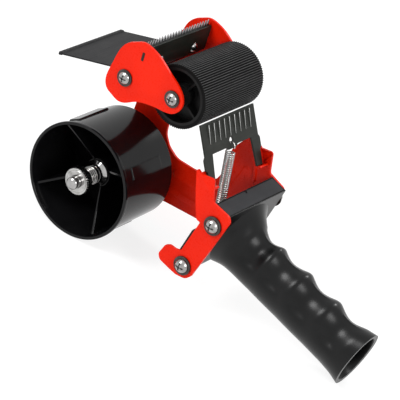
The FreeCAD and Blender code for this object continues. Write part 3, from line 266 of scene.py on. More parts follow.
def mapped(tree, value, low, high, fromLow=0.3, fromHigh=0.7):
    made = newNode(tree, "ShaderNodeMapRange",
                   {"From Min": fromLow, "From Max": fromHigh, "To Min": low, "To Max": high})
    tree.links.new(value, made.inputs["Value"])
    return made.outputs["Result"]


# a colour between a and b, where each is a colour or a socket and the share is a socket
def mixed(tree, share, a, b):
    made = newNode(tree, "ShaderNodeMix", data_type="RGBA")
    tree.links.new(share, made.inputs[0])
    for value, spot in ((a, 6), (b, 7)):
        if isinstance(value, bpy.types.NodeSocket):
            tree.links.new(value, made.inputs[spot])
        else:
            made.inputs[spot].default_value = (*value, 1.0)
    return made.outputs[2]


# detail and roughness of each layer of noise
layers = {"cloud": (3.0, 0.55), "grain": (6.0, 0.6), "scratch": (2.0, 0.5), "relief": (3.0, 0.5)}
# the scratches that handling leaves: thin streaks of two directions, crossed, each with its stretch and turn
scratches = {"size": 0.0016, "first": ((1, 0.05, 1), (0.4, 0.3, 0.9)), "firstRange": (0, 1, 0.55, 0.78),
             "second": ((0.05, 1, 1), (0.2, 0.7, 0.3)), "secondRange": (0.2, 1, 0.45, 0.7)}
paintedHollowShade = {"samples": 12, "range": (0, 1, 0.1, 0.85)}  # painted shade: how much corners and recesses darken
reliefDepth = 0.0001


# a finish: clouded colour, a grain, light scratches, painted shade in corners and recesses, and a fine relief; its
# sizes are in metres
def finish(name, spec):
    material = bpy.data.materials.new(name)
    material.use_nodes = True
    tree = material.node_tree
    shader = tree.nodes["Principled BSDF"]
    coords = newNode(tree, "ShaderNodeTexCoord").outputs["Object"]
    stretch = spec.get("stretch", (1, 1, 1))
    cloud = noise(tree, coords, spec["cloud"], *layers["cloud"])
    grain = noise(tree, coords, spec["grain"], *layers["grain"], stretch)
    colour = mixed(tree, mapped(tree, cloud, 0, 1), spec["dark"], spec["light"])
    colour = mixed(tree, mapped(tree, grain, 0, spec.get("grainShare", 0.25)), colour, spec["light"])
    first = noise(tree, coords, scratches["size"], *layers["scratch"], *scratches["first"])
    second = noise(tree, coords, scratches["size"], *layers["scratch"], *scratches["second"])
    marks = newNode(tree, "ShaderNodeMath", operation="MULTIPLY")
    tree.links.new(mapped(tree, first, *scratches["firstRange"]), marks.inputs[0])
    tree.links.new(mapped(tree, second, *scratches["secondRange"]), marks.inputs[1])
    worn = mapped(tree, marks.outputs[0], 0, spec["wear"], 0, 1)
    colour = mixed(tree, worn, colour, spec.get("worn", spec["light"]))
    # painted shade: corners and recesses darken towards the shade colour, within the given reach
    if "shade" in spec:
        paintedShadeNode = newNode(tree, "ShaderNodeAmbientOcclusion", {"Distance": spec["shadeReach"]},
                         samples=paintedHollowShade["samples"])
        colour = mixed(tree, mapped(tree, paintedShadeNode.outputs["AO"], *paintedHollowShade["range"]), spec["shade"], colour)
    tree.links.new(colour, shader.inputs["Base Color"])
    rough = newNode(tree, "ShaderNodeMath", operation="ADD", use_clamp=True)
    tree.links.new(mapped(tree, grain, *spec["rough"]), rough.inputs[0])
    tree.links.new(mapped(tree, marks.outputs[0], 0, spec.get("wearRough", 0.15), 0, 1), rough.inputs[1])
    tree.links.new(rough.outputs[0], shader.inputs["Roughness"])
    relief = noise(tree, coords, spec["relief"], *layers["relief"], stretch)
    bump = newNode(tree, "ShaderNodeBump", {"Strength": spec["bump"], "Distance": reliefDepth})
    tree.links.new(relief, bump.inputs["Height"])
    tree.links.new(bump.outputs["Normal"], shader.inputs["Normal"])
    shader.inputs["Metallic"].default_value = spec.get("metallic", 0.0)
    shader.inputs["Specular IOR Level"].default_value = spec.get("specular", 0.5)
    return material


# where a finish has a shade colour, that colour is painted shade that darkens its corners and recesses
finishes = {
    "redPaint": {"dark": (0.76, 0.012, 0.001), "light": (0.88, 0.018, 0.002), "cloud": 0.035,
                 "grain": 0.0012, "grainShare": 0.10, "rough": (0.24, 0.34), "relief": 0.0016, "bump": 0.06,
                 "wear": 0.10, "worn": (0.95, 0.12, 0.06), "wearRough": 0.08, "specular": 0.12,
                 "shade": (0.34, 0.004, 0.001), "shadeReach": 0.005},
    "hubPlastic": {"dark": (0.0030, 0.0030, 0.0035), "light": (0.0060, 0.0060, 0.0065), "cloud": 0.02,
                   "grain": 0.0008, "rough": (0.11, 0.16), "relief": 0.008, "bump": 0.02, "wear": 0.06,
                   "worn": (0.05, 0.05, 0.05), "wearRough": 0.04, "specular": 0.22},
    "corePlastic": {"dark": (0.004, 0.004, 0.004), "light": (0.009, 0.009, 0.009), "cloud": 0.01,
                    "grain": 0.0006, "rough": (0.3, 0.45), "relief": 0.0007, "bump": 0.1, "wear": 0.1,
                    "specular": 0.15},
    "rollerRubber": {"dark": (0.0015, 0.0015, 0.0016), "light": (0.004, 0.004, 0.004), "cloud": 0.012,
                     "grain": 0.0006, "rough": (0.5, 0.65), "stretch": (1, 0.12, 1), "relief": 0.0005,
                     "bump": 0.2, "wear": 0.1, "worn": (0.03, 0.03, 0.03), "specular": 0.08},
    # painted highlight: a paler rubber for the crests of the roller's ribs
    "rubberCrestHighlight": {"dark": (0.024, 0.024, 0.024), "light": (0.045, 0.045, 0.046), "cloud": 0.006,
                    "grain": 0.0005, "rough": (0.36, 0.5), "stretch": (1, 0.1, 1), "relief": 0.0005,
                    "bump": 0.2, "wear": 0.3, "worn": (0.12, 0.12, 0.12), "specular": 0.2},
    "handlePlastic": {"dark": (0.0022, 0.0023, 0.0024), "light": (0.0044, 0.0046, 0.0048), "cloud": 0.03,
                      "grain": 0.0007, "rough": (0.27, 0.32), "relief": 0.0012, "bump": 0.010, "wear": 0.05,
                      "worn": (0.03, 0.03, 0.03), "wearRough": 0.02, "specular": 0.24},
    # painted shade: the black rim round the slab's top and the nick's top
    "paintedShadeRim": {"dark": (0.0015, 0.0015, 0.0016), "light": (0.003, 0.003, 0.003), "cloud": 0.012,
                  "grain": 0.0006, "rough": (0.4, 0.5), "relief": 0.0006, "bump": 0.1, "wear": 0.1,
                  "worn": (0.03, 0.03, 0.03), "specular": 0.04},
    # painted reflection: the slab's top, a lighter grey than the grip
    "slabTop": {"dark": (0.014, 0.014, 0.016), "light": (0.024, 0.025, 0.028), "cloud": 0.02,
                "grain": 0.0006, "rough": (0.42, 0.55), "relief": 0.0006, "bump": 0.15, "wear": 0.2,
                "worn": (0.12, 0.12, 0.12), "specular": 0.12},
    "blackSteel": {"dark": (0.010, 0.012, 0.009), "light": (0.020, 0.022, 0.018), "cloud": 0.015,
                   "grain": 0.0008, "rough": (0.3, 0.42), "stretch": (1, 1, 0.15), "relief": 0.0009,
                   "bump": 0.10, "metallic": 0.1, "wear": 0.2, "worn": (0.15, 0.15, 0.14), "specular": 0.22},
    "flapPlastic": {"dark": (0.010, 0.010, 0.011), "light": (0.018, 0.018, 0.019), "cloud": 0.012,
                    "grain": 0.0004, "rough": (0.5, 0.62), "relief": 0.00035, "bump": 0.25, "wear": 0.12,
                    "specular": 0.14},
    "bladeSteel": {"dark": (0.22, 0.22, 0.225), "light": (0.40, 0.40, 0.40), "cloud": 0.01,
                   "grain": 0.0003, "rough": (0.26, 0.4), "stretch": (1, 0.04, 1), "relief": 0.0003,
                   "bump": 0.15, "metallic": 1.0, "wear": 0.3, "worn": (0.5, 0.5, 0.5)},
    "chromePlate": {"dark": (0.30, 0.295, 0.29), "light": (0.46, 0.455, 0.45), "cloud": 0.006,
                    "grain": 0.0008, "rough": (0.06, 0.12), "relief": 0.004, "bump": 0.05, "metallic": 1.0,
                    "wear": 0.2, "worn": (0.6, 0.6, 0.6), "shade": (0.01, 0.01, 0.01), "shadeReach": 0.003},
    "nutSteel": {"dark": (0.30, 0.295, 0.285), "light": (0.58, 0.575, 0.565), "cloud": 0.004,
                 "grain": 0.0006, "rough": (0.14, 0.24), "relief": 0.0006, "bump": 0.08, "metallic": 1.0,
                 "wear": 0.3, "worn": (0.6, 0.59, 0.57), "shade": (0.006, 0.006, 0.006), "shadeReach": 0.002},
    # painted highlight: pale metal for strips along the tension plate's rib crests
    "crestHighlightSteel": {"dark": (0.50, 0.50, 0.49), "light": (0.80, 0.80, 0.79), "cloud": 0.004,
                  "grain": 0.0005, "rough": (0.25, 0.4), "relief": 0.0006, "bump": 0.1, "metallic": 0.9,
                  "wear": 0.4, "worn": (0.3, 0.3, 0.3)},
    "zincSteel": {"dark": (0.26, 0.255, 0.25), "light": (0.44, 0.43, 0.42), "cloud": 0.003,
                  "grain": 0.0004, "rough": (0.16, 0.3), "relief": 0.0005, "bump": 0.12, "metallic": 1.0,
                  "wear": 0.3, "worn": (0.6, 0.58, 0.55), "shade": (0.01, 0.01, 0.01), "shadeReach": 0.002},
    "darkSteel": {"dark": (0.03, 0.028, 0.026), "light": (0.085, 0.08, 0.075), "cloud": 0.003,
                  "grain": 0.0004, "rough": (0.32, 0.48), "relief": 0.0004, "bump": 0.2, "metallic": 0.8,
                  "wear": 0.3, "worn": (0.3, 0.29, 0.27), "shade": (0.004, 0.004, 0.004), "shadeReach": 0.002},
    "springSteel": {"dark": (0.30, 0.285, 0.27), "light": (0.62, 0.61, 0.60), "cloud": 0.003,
                    "grain": 0.0003, "rough": (0.12, 0.22), "relief": 0.0003, "bump": 0.08, "metallic": 1.0,
                    "wear": 0.3, "worn": (0.3, 0.25, 0.2), "shade": (0.004, 0.003, 0.003),
                    "shadeReach": 0.0008},
}
materials = {name: finish(name, spec) for name, spec in finishes.items()}
slotFinish = {"red_paint": "redPaint", "hub_plastic": "hubPlastic", "core_plastic": "corePlastic",
              "roller_rubber": "rollerRubber", "handle_plastic": "handlePlastic", "black_steel": "blackSteel",
              "flap_plastic": "flapPlastic", "blade_steel": "bladeSteel", "chrome": "chromePlate",
              "zinc_steel": "zincSteel", "dark_steel": "darkSteel", "spring_steel": "springSteel"}
for name, node in nodes.items():
    if not node.material_slots:
        node.data.materials.append(None)
    for slot in node.material_slots:
        slot.material = materials[slotFinish[slotOf(name)]]
print("materials made:", len(materials))

# plates and small parts: their own meshes, the edges rounded by a width in millimetres
softEdges = {
    "main_plate": {"round": 0.40, "segments": 2},
    "near_cheek": {"round": 0.35, "segments": 2},
    "head_plate": {"round": 0.40, "segments": 2},
    "blade_holder": {"round": 0.20, "segments": 2},
    "wiper_flap": {"round": 0.12, "segments": 1},
    "roller_sleeve": {"smooth": 12},
    "roller_core": {"round": 0.15, "segments": 1},
    "blade": {"round": 0.08, "segments": 1, "limit": 50},
    "head_screws": {"round": 0.10, "segments": 1, "limit": 45},
    "cheek_bolts": {"round": 0.12, "segments": 1, "limit": 45},
    "cheek_washers": {"round": 0.12, "segments": 1},
}
softPieces = {name: softened(name, spec) for name, spec in softEdges.items()}

# painted highlight: the crests of the roller's ribs are painted paler, on faces that look outward and not along
# the roller
crestHighlightFacing = {"outward": 0.9, "along": 0.1}
sleeve = softPieces["roller_sleeve"]
sleeve.data.materials.append(materials["rubberCrestHighlight"])
for polygon in sleeve.data.polygons:
    away = (polygon.center - rollerPlace) * Vector((1, 0, 1))
    outward = polygon.normal.dot(away.normalized())
    if outward > crestHighlightFacing["outward"] and abs(polygon.normal.y) < crestHighlightFacing["along"]:
        polygon.material_index = 1

# tape hub: lipped shell, floor and boss, four thin spokes, four raised bars
hub = {"rim": 37.6, "body": 36.2, "taper": 0.5, "wall": 1.9, "near": -28.0, "far": 21.6, "lip": 2.2,
       "lipShares": (1.6, 2.0), "steps": (144, 96), "floor": (13.4, 15.6), "boss": 9.0, "bore": 4.05,
       "bossNear": -7.5, "spokes": 4, "spoke": 1.5, "spokeTurn": 33.0, "spokeRoot": 5.4, "spokeFar": 14.5,
       "spokeIn": (2.0, 3.0),  # how far a spoke starts behind the boss's face and behind the rim
       "bar": (8.0, -20.0, 12.0), "barRise": 0.6, "barSlope": 2.0,  # bar: width, near end, far end
       "edges": (0.3, 2, 32, 32), "finish": "hubPlastic"}  # edges: width, segments, sharper than, smooth up to
barrel = hub["body"] - hub["taper"]
lipEnd = hub["near"] + hub["lip"]
lipOut, lipIn = (hub["near"] + hub["lip"] * share for share in hub["lipShares"])
shellSteps, middleSteps = hub["steps"]
shell = turned([(hub["rim"] - hub["wall"], hub["near"]), (hub["rim"], hub["near"]), (hub["rim"], lipEnd),
                (hub["body"], lipOut), (barrel, hub["far"]), (barrel - hub["wall"], hub["far"]),
                (hub["body"] - hub["wall"], lipIn)], shellSteps)
inside = barrel - hub["wall"] / 2
floorNear, floorFar = hub["floor"]
middle = turned([(hub["bore"], hub["bossNear"]), (hub["boss"], hub["bossNear"]), (hub["boss"], floorNear),
                 (inside, floorNear), (inside, floorFar), (hub["boss"], floorFar), (hub["boss"], hub["far"]),
                 (hub["bore"], hub["far"])], middleSteps)
rootIn, rimIn = hub["spokeIn"]
spokeNear = hub["bossNear"] + rootIn
spoke = block((hub["spokeRoot"], spokeNear, -hub["spoke"] / 2), (inside, hub["spokeFar"], hub["spoke"] / 2))
moved(spoke, lambda p: p.x > hub["boss"] and p.y < 0, (0, hub["near"] + rimIn - spokeNear, 0))
barWidth, barNear, barFar = hub["bar"]
bar = block((inside, barNear, -barWidth / 2), (hub["body"] + hub["barRise"], barFar, barWidth / 2))
moved(bar, lambda p: p.x > hub["body"] and p.y < 0, (0, hub["barSlope"], 0))
moved(bar, lambda p: p.x > hub["body"] and p.y > 0, (0, -hub["barSlope"], 0))
parts = [shell, middle]
for k in range(hub["spokes"]):
    turn = aboutHub(-math.radians(hub["spokeTurn"] + k * 360 / hub["spokes"]))
    parts += [copied(spoke, turn), copied(bar, turn)]
for arm in (spoke, bar):
    bpy.data.objects.remove(arm)
finished(joined(parts), "tape_hub", hub)

# spindle with a fine thread; the shank is a row of radius and y, from the thread to the far end
stud = {"tip": -34.5, "tipRadius": 2.9, "lead": (3.75, 0.85), "pitch": 1.25, "root": 3.62, "crest": 3.98,
        "crestShare": 0.4, "rootShare": 0.9, "threadEnd": -12.0, "steps": 48,
        "shank": [(4.0, -11.0), (4.0, 21.95), (9.0, 21.95), (9.0, 24.95), (6.4, 30.1), (4.0, 30.1), (4.0, 37.9),
                  (3.0, 38.9)],
        "edges": (0.06, 1, 32, 32), "finish": "chromePlate"}
leadRadius, leadLength = stud["lead"]
along = stud["tip"] + leadLength
profile = [(stud["tipRadius"], stud["tip"]), (leadRadius, along)]
while along < stud["threadEnd"]:
    profile += [(stud["crest"], along + stud["pitch"] * stud["crestShare"]),
                (stud["root"], along + stud["pitch"] * stud["rootShare"])]
    along += stud["pitch"]
finished(turned(profile + stud["shank"], stud["steps"], ring=False), "spindle", stud)

# knurled thumb nut with a groove round its face
thumb = {"radius": 9.1, "face": -29.1, "back": -23.5, "bore": 4.1, "groove": (6.9, 7.3, 7.9), "grooveDeep": 0.35,
         "crown": 8.4, "backCrown": 8.3, "chamfer": 0.8, "knurl": 0.7, "count": 36,
         "edges": (0.07, 1, 25, 22), "finish": "nutSteel"}
grooveIn, grooveFloor, grooveOut = thumb["groove"]
knurled = turned([(thumb["bore"], thumb["face"]), (grooveIn, thumb["face"]),
                  (grooveFloor, thumb["face"] + thumb["grooveDeep"]), (grooveOut, thumb["face"]),
                  (thumb["crown"], thumb["face"]), (thumb["radius"], thumb["face"] + thumb["chamfer"]),
                  (thumb["radius"], thumb["back"] - thumb["chamfer"]), (thumb["backCrown"], thumb["back"]),
                  (thumb["bore"], thumb["back"])], thumb["count"] * 2)


# every second line of points round the nut
def knurlRoots(p):
    step = round((math.atan2(p.z, p.x) / math.tau) * thumb["count"] * 2)
    return step % 2 and math.hypot(p.x, p.z) > thumb["radius"] - 0.2


picked(knurled, knurlRoots)
inward = 1 - thumb["knurl"] / thumb["radius"]
bpy.ops.transform.resize(value=(inward, 1, inward), center_override=at(0, 0, 0))
objectMode()
finished(knurled, "thumb_nut", thumb)

# dished cup under the brake spring, a row of radius and y
cup = {"profile": [(4.1, -12.2), (5.6, -12.2), (5.9, -11.6), (6.4, -10.4), (8.3, -8.9), (8.5, -8.4), (8.5, -7.6),
                   (4.1, -7.6)], "steps": 64, "edges": (0.12, 2, 40, 40), "finish": "chromePlate"}
finished(turned(cup["profile"], cup["steps"]), "brake_cup", cup)

# handle, upright about its own screw: grooved grip, slab with a boss, two lugs, then leaned into place
handle = {"tilt": 14.4, "pivot": (100.4, 27.9), "start": 5.2, "length": 104.8, "drop": 18.8, "wall": 3.2,
          "bore": 62.0, "wide": 14.0, "low": 17.6, "groove": 16.4, "peak": 18.7, "sharp": 0.75, "around": 72,
          "rows": 84, "aside": 0.4, "lipRound": 0.5, "lipBack": 0.15, "lipWall": 2.7,
          "boreRows": (0.992, 0.95, 0.91, 0.8, 0.7, 0.6, 0.5),
          "scoop": 2.5, "scoopReach": 0.105, "scoops": (0.186, 0.362, 0.590, 0.830), "scoopEnds": (0.1, 0.95),
          "skin": 1.5, "scoopFade": 1.3, "scoopSpread": (0.12, 0.5),
          "slab": (-6.8, 5.3, -18.0, 11.7),  # rear, front, bottom, top; its rounds are radius and segments
          "slabRear": (6.0, 8), "slabFront": (0.6, 3), "slabTop": (0.35, 2), "rim": 0.7,
          "boss": (-10.0, 2.0, -43.8, -12.0),  # rear, front, bottom, top
          "bossRear": (5.2, 6), "bossFront": (6.4, 8), "bossTop": (3.0, 4),
          "nick": (0.2, 2.6, 0.35, 0.3, 0.05),  # start, end, half width, depth, how far it stands up
          "nickRound": (0.04, 1),
          "lug": (82.5, 97.0, 12.4, 21.0),  # rear, front, bottom, top
          "lugs": (-7.2, 4.2), "lugWide": 3.0, "lugRound": (2.4, 4),
          "edges": (0.3, 2, 50, 40)}
tilt = math.radians(handle["tilt"])
# the grip's end reaches down to the floor that the hub stands on
endAlong = handle["start"] + handle["length"]
endLow = (handle["pivot"][1] + hub["rim"] - endAlong * math.sin(tilt)) / math.cos(tilt) - handle["drop"]
wide, low, groove, peak = handle["wide"], handle["low"], handle["groove"], handle["peak"]
# share of the length, half width, height above the middle line and depth below it
stations = [(0.0, 25.0, 28.5, low), (0.06, wide * 1.22, 23.4, low), (0.12, wide * 1.04, groove * 1.13, low),
            (0.186, wide, groove, low), (0.259, wide, peak, low), (0.362, wide, groove, low),
            (0.482, wide, peak, low), (0.590, wide, groove, low), (0.712, wide, peak, low),
            (0.830, wide, groove, low), (0.915, wide * 1.05, groove * 1.10, low * 1.03), (1.0, 14.5, 20.6, endLow)]
firstGroove, lastGroove = 3, 9  # as counted in stations


# between a groove and a peak the finger side is flat in the groove and comes to a soft point at the peak
def fingerCurve(toPeak):
    rise = 1 - math.cos(math.pi / 2 * toPeak)
    soft = (1 - math.cos(math.pi * toPeak)) / 2
    return groove + (peak - groove) * (rise * handle["sharp"] + soft * (1 - handle["sharp"]))


# half width, height and depth at a share of the length, on a smooth curve that never overshoots a station
def gripAt(share):
    index = next(i for i in range(1, len(stations)) if share <= stations[i][0] + 1e-9)
    first, last = stations[index - 1], stations[index]
    span = last[0] - first[0]
    k = (share - first[0]) / span
    row = []
    for column in (1, 2, 3):
        p, q = first[column], last[column]
        if column == 2 and firstGroove < index <= lastGroove:
            row.append(fingerCurve(k if q > p else 1 - k))
            continue
        slope = lead = trail = (q - p) / span
        if index > 1:
            lead = (p - stations[index - 2][column]) / (first[0] - stations[index - 2][0])
        if index + 1 < len(stations):
            trail = (stations[index + 1][column] - q) / (stations[index + 1][0] - last[0])
        leave = 0 if lead * slope <= 0 else 2 * lead * slope / (lead + slope)
        arrive = 0 if trail * slope <= 0 else 2 * trail * slope / (trail + slope)
        row.append(p * (2 * k ** 3 - 3 * k ** 2 + 1) + leave * span * (k ** 3 - 2 * k ** 2 + k)
                   + q * (3 * k ** 2 - 2 * k ** 3) + arrive * span * (k ** 3 - k ** 2))
    return row


# place along the grip, half width, half height and middle of an oval row, drawn in for the bore
def gripRow(share, inset=0.0):
    half, upper, under = gripAt(share)
    return (handle["start"] + share * handle["length"], half - inset, (upper + under) / 2 - inset,
            (upper - under) / 2 - handle["drop"])


rows = [gripRow(k / handle["rows"]) for k in range(handle["rows"] + 1)]
endX, endHalf, endHigh, endMiddle = rows[-1]
for inset in (handle["lipRound"], handle["lipWall"]):
    rows.append((endX - handle["lipBack"], endHalf - inset, endHigh - inset, endMiddle))
rows += [gripRow(share, handle["wall"]) for share in handle["boreRows"]]
rows += [gripRow(1 - handle["bore"] / handle["length"], handle["wall"])]
x, half, high, middle = rows[0]
startRadius = 10
bpy.ops.object.select_all(action="DESELECT")
bpy.ops.mesh.primitive_circle_add(vertices=handle["around"], radius=startRadius / 1000,
                                  rotation=(0, math.pi / 2, 0))
grip = settled(bpy.context.object)
editMode(grip)
bpy.ops.mesh.select_all(action="SELECT")
bpy.ops.transform.resize(value=(1, half / startRadius, high / startRadius), center_override=(0, 0, 0))
bpy.ops.transform.translate(value=(x / 1000, handle["aside"] / 1000, middle / 1000))
for nextX, nextHalf, nextHigh, nextMiddle in rows[1:]:
    move = ((nextX - x) / 1000, 0, (nextMiddle - middle) / 1000)
    bpy.ops.mesh.extrude_region_move(TRANSFORM_OT_translate={"value": move})
    centre = (nextX / 1000, handle["aside"] / 1000, nextMiddle / 1000)
    bpy.ops.transform.resize(value=(1, nextHalf / half, nextHigh / high), center_override=centre)
    x, half, high, middle = nextX, nextHalf, nextHigh, nextMiddle
bpy.ops.mesh.select_all(action="SELECT")
bpy.ops.mesh.fill_holes(sides=0)
bpy.ops.mesh.normals_make_consistent(inside=False)
objectMode()

# finger grooves run a little way down both sides, deepest above the middle; the bore stays as it is
scoopStart, scoopEnd = handle["scoopEnds"]
spreadBelow, spreadOver = handle["scoopSpread"]
for vertex in grip.data.vertices:
    share = (vertex.co.x * 1000 - handle["start"]) / handle["length"]
    side, rise = vertex.co.y * 1000 - handle["aside"], vertex.co.z * 1000 + handle["drop"]
    reach = math.hypot(side, rise)
    skin = min(gripAt(min(max(share, 0), 1))[:2])
    if reach < skin - handle["skin"] or not scoopStart < share < scoopEnd:
        continue
    near = min(abs(share - spot) for spot in handle["scoops"])
    deep = max(0.0, 1 - (near / handle["scoopReach"]) ** 2) ** handle["scoopFade"]
    lift = min(max((rise / reach + spreadBelow) / spreadOver, 0), 1)
    lift = lift * lift * (3 - 2 * lift) * math.sqrt(abs(side) / reach)
    inward = handle["scoop"] * deep * lift / reach
    vertex.co.y -= side * inward / 1000
    vertex.co.z -= rise * inward / 1000

# slab and boss between the cheeks, with a small nick at the top's rear edge
rear, front, bottom, top = handle["slab"]
slab = block((rear, cheekFaces["near"], bottom), (front, cheekFaces["far"], top), True)
edgesRounded(slab, lambda p: p.x < 0 and p.z < 0, *handle["slabRear"], True)
edgesRounded(slab, lambda p: p.x > 0 and p.z < 0, *handle["slabFront"], True)
edgesRounded(slab, lambda p: p.z > top - 0.7, *handle["slabTop"], True)
bossRear, bossFront, bossLow, bossTop = handle["boss"]
boss = block((bossRear, cheekFaces["near"], bossLow), (bossFront, cheekFaces["far"], bossTop), True)
edgesRounded(boss, lambda p: p.x < bossRear + 1 and p.z < bossLow + 3, *handle["bossRear"], True)
edgesRounded(boss, lambda p: p.x > bossFront - 1 and p.z < bossLow + 3, *handle["bossFront"], True)
edgesRounded(boss, lambda p: p.x < bossRear + 1 and p.z > bossTop - 8, *handle["bossTop"], True)
nickStart, nickEnd, nickHalf, nickDeep, nickProud = handle["nick"]
nick = block((rear + nickStart, -nickHalf, top - nickDeep), (rear + nickEnd, nickHalf, top + nickProud), True)
edgesRounded(nick, lambda p: p.z > top, *handle["nickRound"], True)
handlePiece = joined([grip, slab, boss, nick])

# the slab's top is duller than the grip and painted a lighter grey, a painted reflection, with a black rim of
# painted shade round it that the nick's top takes too
topReach, topArea = 0.02, 0.0002  # millimetres below the top, square metres that only the middle face has
paint(handlePiece, "handlePlastic", "slabTop", "paintedShadeRim")
picked(handlePiece, lambda p: p.z > top - topReach, True)
bpy.ops.mesh.inset(thickness=handle["rim"] / 1000, depth=0)
objectMode()
for polygon in handlePiece.data.polygons:
    if polygon.center.z * 1000 > top - topReach and polygon.normal.z > 0.99:
        polygon.material_index = 1 if polygon.area > topArea else 2
handlePiece.rotation_euler = (0, tilt, 0)
handlePiece.location = at(handle["pivot"][0], 0, handle["pivot"][1])
settled(handlePiece)

# two lugs hold the tension spring's pin
lugRear, lugFront, lugLow, lugHigh = handle["lug"]
lugs = [block((lugRear, y, lugLow), (lugFront, y + handle["lugWide"], lugHigh)) for y in handle["lugs"]]
for lug in lugs:
    edgesRounded(lug, lambda p: p.x < (lugRear + lugFront) / 2, *handle["lugRound"])
finished(joined([handlePiece] + lugs), "handle", handle)

# tension plate, and pale metal strips along the crests of its ribs, a painted highlight
plate = {"foot": (88.6, 46.7), "lean": 29.75, "ribs": 9, "gap": 5.227, "low": (24.6, 0.80), "high": (36.3, 1.66),
         "crest": 0.50, "rise": 0.22, "lowShare": 0.3, "crestRound": (0.07, 2),
         "round": 0.22, "segments": 2, "limit": 30, "smooth": 50}  # low and high: up the plate, out from it
softened("tension_plate", plate)
lowUp, lowOut = plate["low"]
highUp, highOut = plate["high"]
halfUp, halfRise = (lowUp + highUp) / 2, plate["rise"] / 2
crest = block((lowOut, plate["crest"] / -2, lowUp), (lowOut + plate["rise"], plate["crest"] / 2, highUp), True)
moved(crest, lambda p: p.z > halfUp, (highOut - lowOut, 0, 0), True)
picked(crest, lambda p: p.z < halfUp, True)
bpy.ops.transform.resize(value=(1, plate["lowShare"], 1), center_override=(0, 0, 0))
objectMode()
edgesRounded(crest, lambda p: p.x > (lowOut if p.z < halfUp else highOut) + halfRise, *plate["crestRound"], True)
crests = []
for k in range(plate["ribs"]):
    aside = (k - (plate["ribs"] - 1) // 2) * plate["gap"] / 1000
    crests.append(copied(crest, Matrix.Translation((0, aside, 0))))
bpy.data.objects.remove(crest)
crestHighlightPiece = joined(crests)
crestHighlightPiece.name = "rib_crest_highlights"
crestHighlightPiece.rotation_euler = (0, -math.radians(plate["lean"]), 0)
crestHighlightPiece.location = at(plate["foot"][0], 0, plate["foot"][1])
smoothed(settled(crestHighlightPiece), plate["smooth"])
# painted highlight: the strips take pale metal
paint(crestHighlightPiece, "crestHighlightSteel")
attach(crestHighlightPiece, bodyOf("tension_plate"))
print("tension plate with", len(crests), "bare crests")

# springs: their own wire, loose on no body, with the place baked into the mesh; each lists the two bodies and the
# two points that its ends sit at
springs = {
    "tension_spring": {"bodies": ("frame", "tension"), "start": (85.5, 0, 16.6), "end": (88.0, 0, 52.0)},
    "brake_spring": {"bodies": ("frame", "brake_washer"), "start": (0, -12.3, 0), "end": (0, -22.3, 0)},
}
for name, spec in springs.items():
    coil = softened(name, spec, loose=True)
    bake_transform(coil)

# camera, where the photograph was taken from, in metres and degrees
view = {"place": (0.567535, -1.089560, 0.757471), "turn": (59.216684, -15.231623, 37.005311),
        "lens": 211.23, "sensor": 36, "reach": 50}
cameraData = bpy.data.cameras.new("camera")
camera = bpy.data.objects.new("camera", cameraData)
scene.collection.objects.link(camera)
camera.location = view["place"]
camera.rotation_euler = Euler([math.radians(a) for a in view["turn"]], "XYZ")
cameraData.lens = view["lens"]
cameraData.sensor_width = view["sensor"]
cameraData.clip_end = view["reach"]
scene.camera = camera

# stage: pale floor, white surroundings and soft lamps, in metres and watts
stage = {"floorSize": 12.0, "shade": 0.80, "glow": 0.82, "shadow": 0.26, "ambient": 0.40, "aim": (0, 0, 0.07)}
lamps = {
    "keyLamp": {"place": (-0.75, -0.95, 1.25), "size": 0.80, "power": 18.0},
    "fillLamp": {"place": (1.1, -0.5, 0.75), "size": 0.60, "power": 7.5},
    "backLamp": {"place": (0.25, 1.0, 1.2), "size": 0.36, "power": 8.0},
}


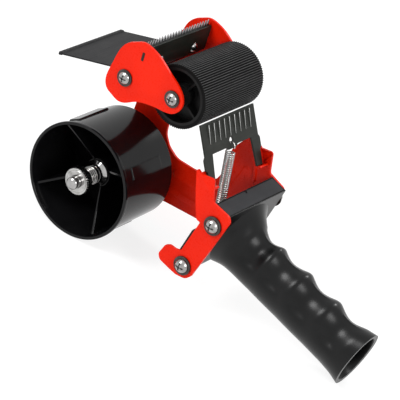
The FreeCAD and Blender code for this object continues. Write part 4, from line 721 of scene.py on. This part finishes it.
# chooses the second shader where the camera sees the surface itself, mirrored or through glass
def whiteForCamera(tree, plain, white, out):
    path = newNode(tree, "ShaderNodeLightPath")
    first = newNode(tree, "ShaderNodeMath", operation="MAXIMUM")
    both = newNode(tree, "ShaderNodeMath", operation="MAXIMUM")
    choose = newNode(tree, "ShaderNodeMixShader")
    tree.links.new(path.outputs["Is Camera Ray"], first.inputs[0])
    tree.links.new(path.outputs["Is Glossy Ray"], first.inputs[1])
    tree.links.new(first.outputs[0], both.inputs[0])
    tree.links.new(path.outputs["Is Transmission Ray"], both.inputs[1])
    for spot, output in enumerate((both.outputs[0], plain.outputs[0], white.outputs[0])):
        tree.links.new(output, choose.inputs[spot])
    tree.links.new(choose.outputs[0], out.inputs["Surface"])


bpy.ops.object.select_all(action="DESELECT")
bpy.ops.mesh.primitive_plane_add(size=stage["floorSize"], location=(0, 0, 0))
floor = bpy.context.object
floor.name = "floor"
floorMaterial = bpy.data.materials.new("paleFloor")
floorMaterial.use_nodes = True
tree = floorMaterial.node_tree
tree.nodes.remove(tree.nodes["Principled BSDF"])
plain = newNode(tree, "ShaderNodeBsdfDiffuse", {"Color": (stage["shade"],) * 3 + (1,)})
faint = newNode(tree, "ShaderNodeBsdfDiffuse", {"Color": (stage["shadow"],) * 3 + (1,)})
glow = newNode(tree, "ShaderNodeEmission", {"Color": (1, 1, 1, 1), "Strength": stage["glow"]})
lit = newNode(tree, "ShaderNodeAddShader")
tree.links.new(faint.outputs[0], lit.inputs[0])
tree.links.new(glow.outputs[0], lit.inputs[1])
whiteForCamera(tree, plain, lit, tree.nodes["Material Output"])
floor.data.materials.append(floorMaterial)

world = bpy.data.worlds.new("studio")
scene.world = world
world.use_nodes = True
tree = world.node_tree
tree.nodes.clear()
soft = newNode(tree, "ShaderNodeBackground", {"Color": (1, 1, 1, 1), "Strength": stage["ambient"]})
white = newNode(tree, "ShaderNodeBackground", {"Color": (1, 1, 1, 1), "Strength": 1.0})
whiteForCamera(tree, soft, white, newNode(tree, "ShaderNodeOutputWorld"))

for name, spec in lamps.items():
    data = bpy.data.lights.new(name, "AREA")
    data.shape = "DISK"
    data.size = spec["size"]
    data.energy = spec["power"]
    lamp = bpy.data.objects.new(name, data)
    scene.collection.objects.link(lamp)
    lamp.location = spec["place"]
    lamp.rotation_euler = (Vector(stage["aim"]) - lamp.location).to_track_quat("-Z", "Y").to_euler()
scene.view_settings.view_transform = "Standard"
print("stage and lamps set")
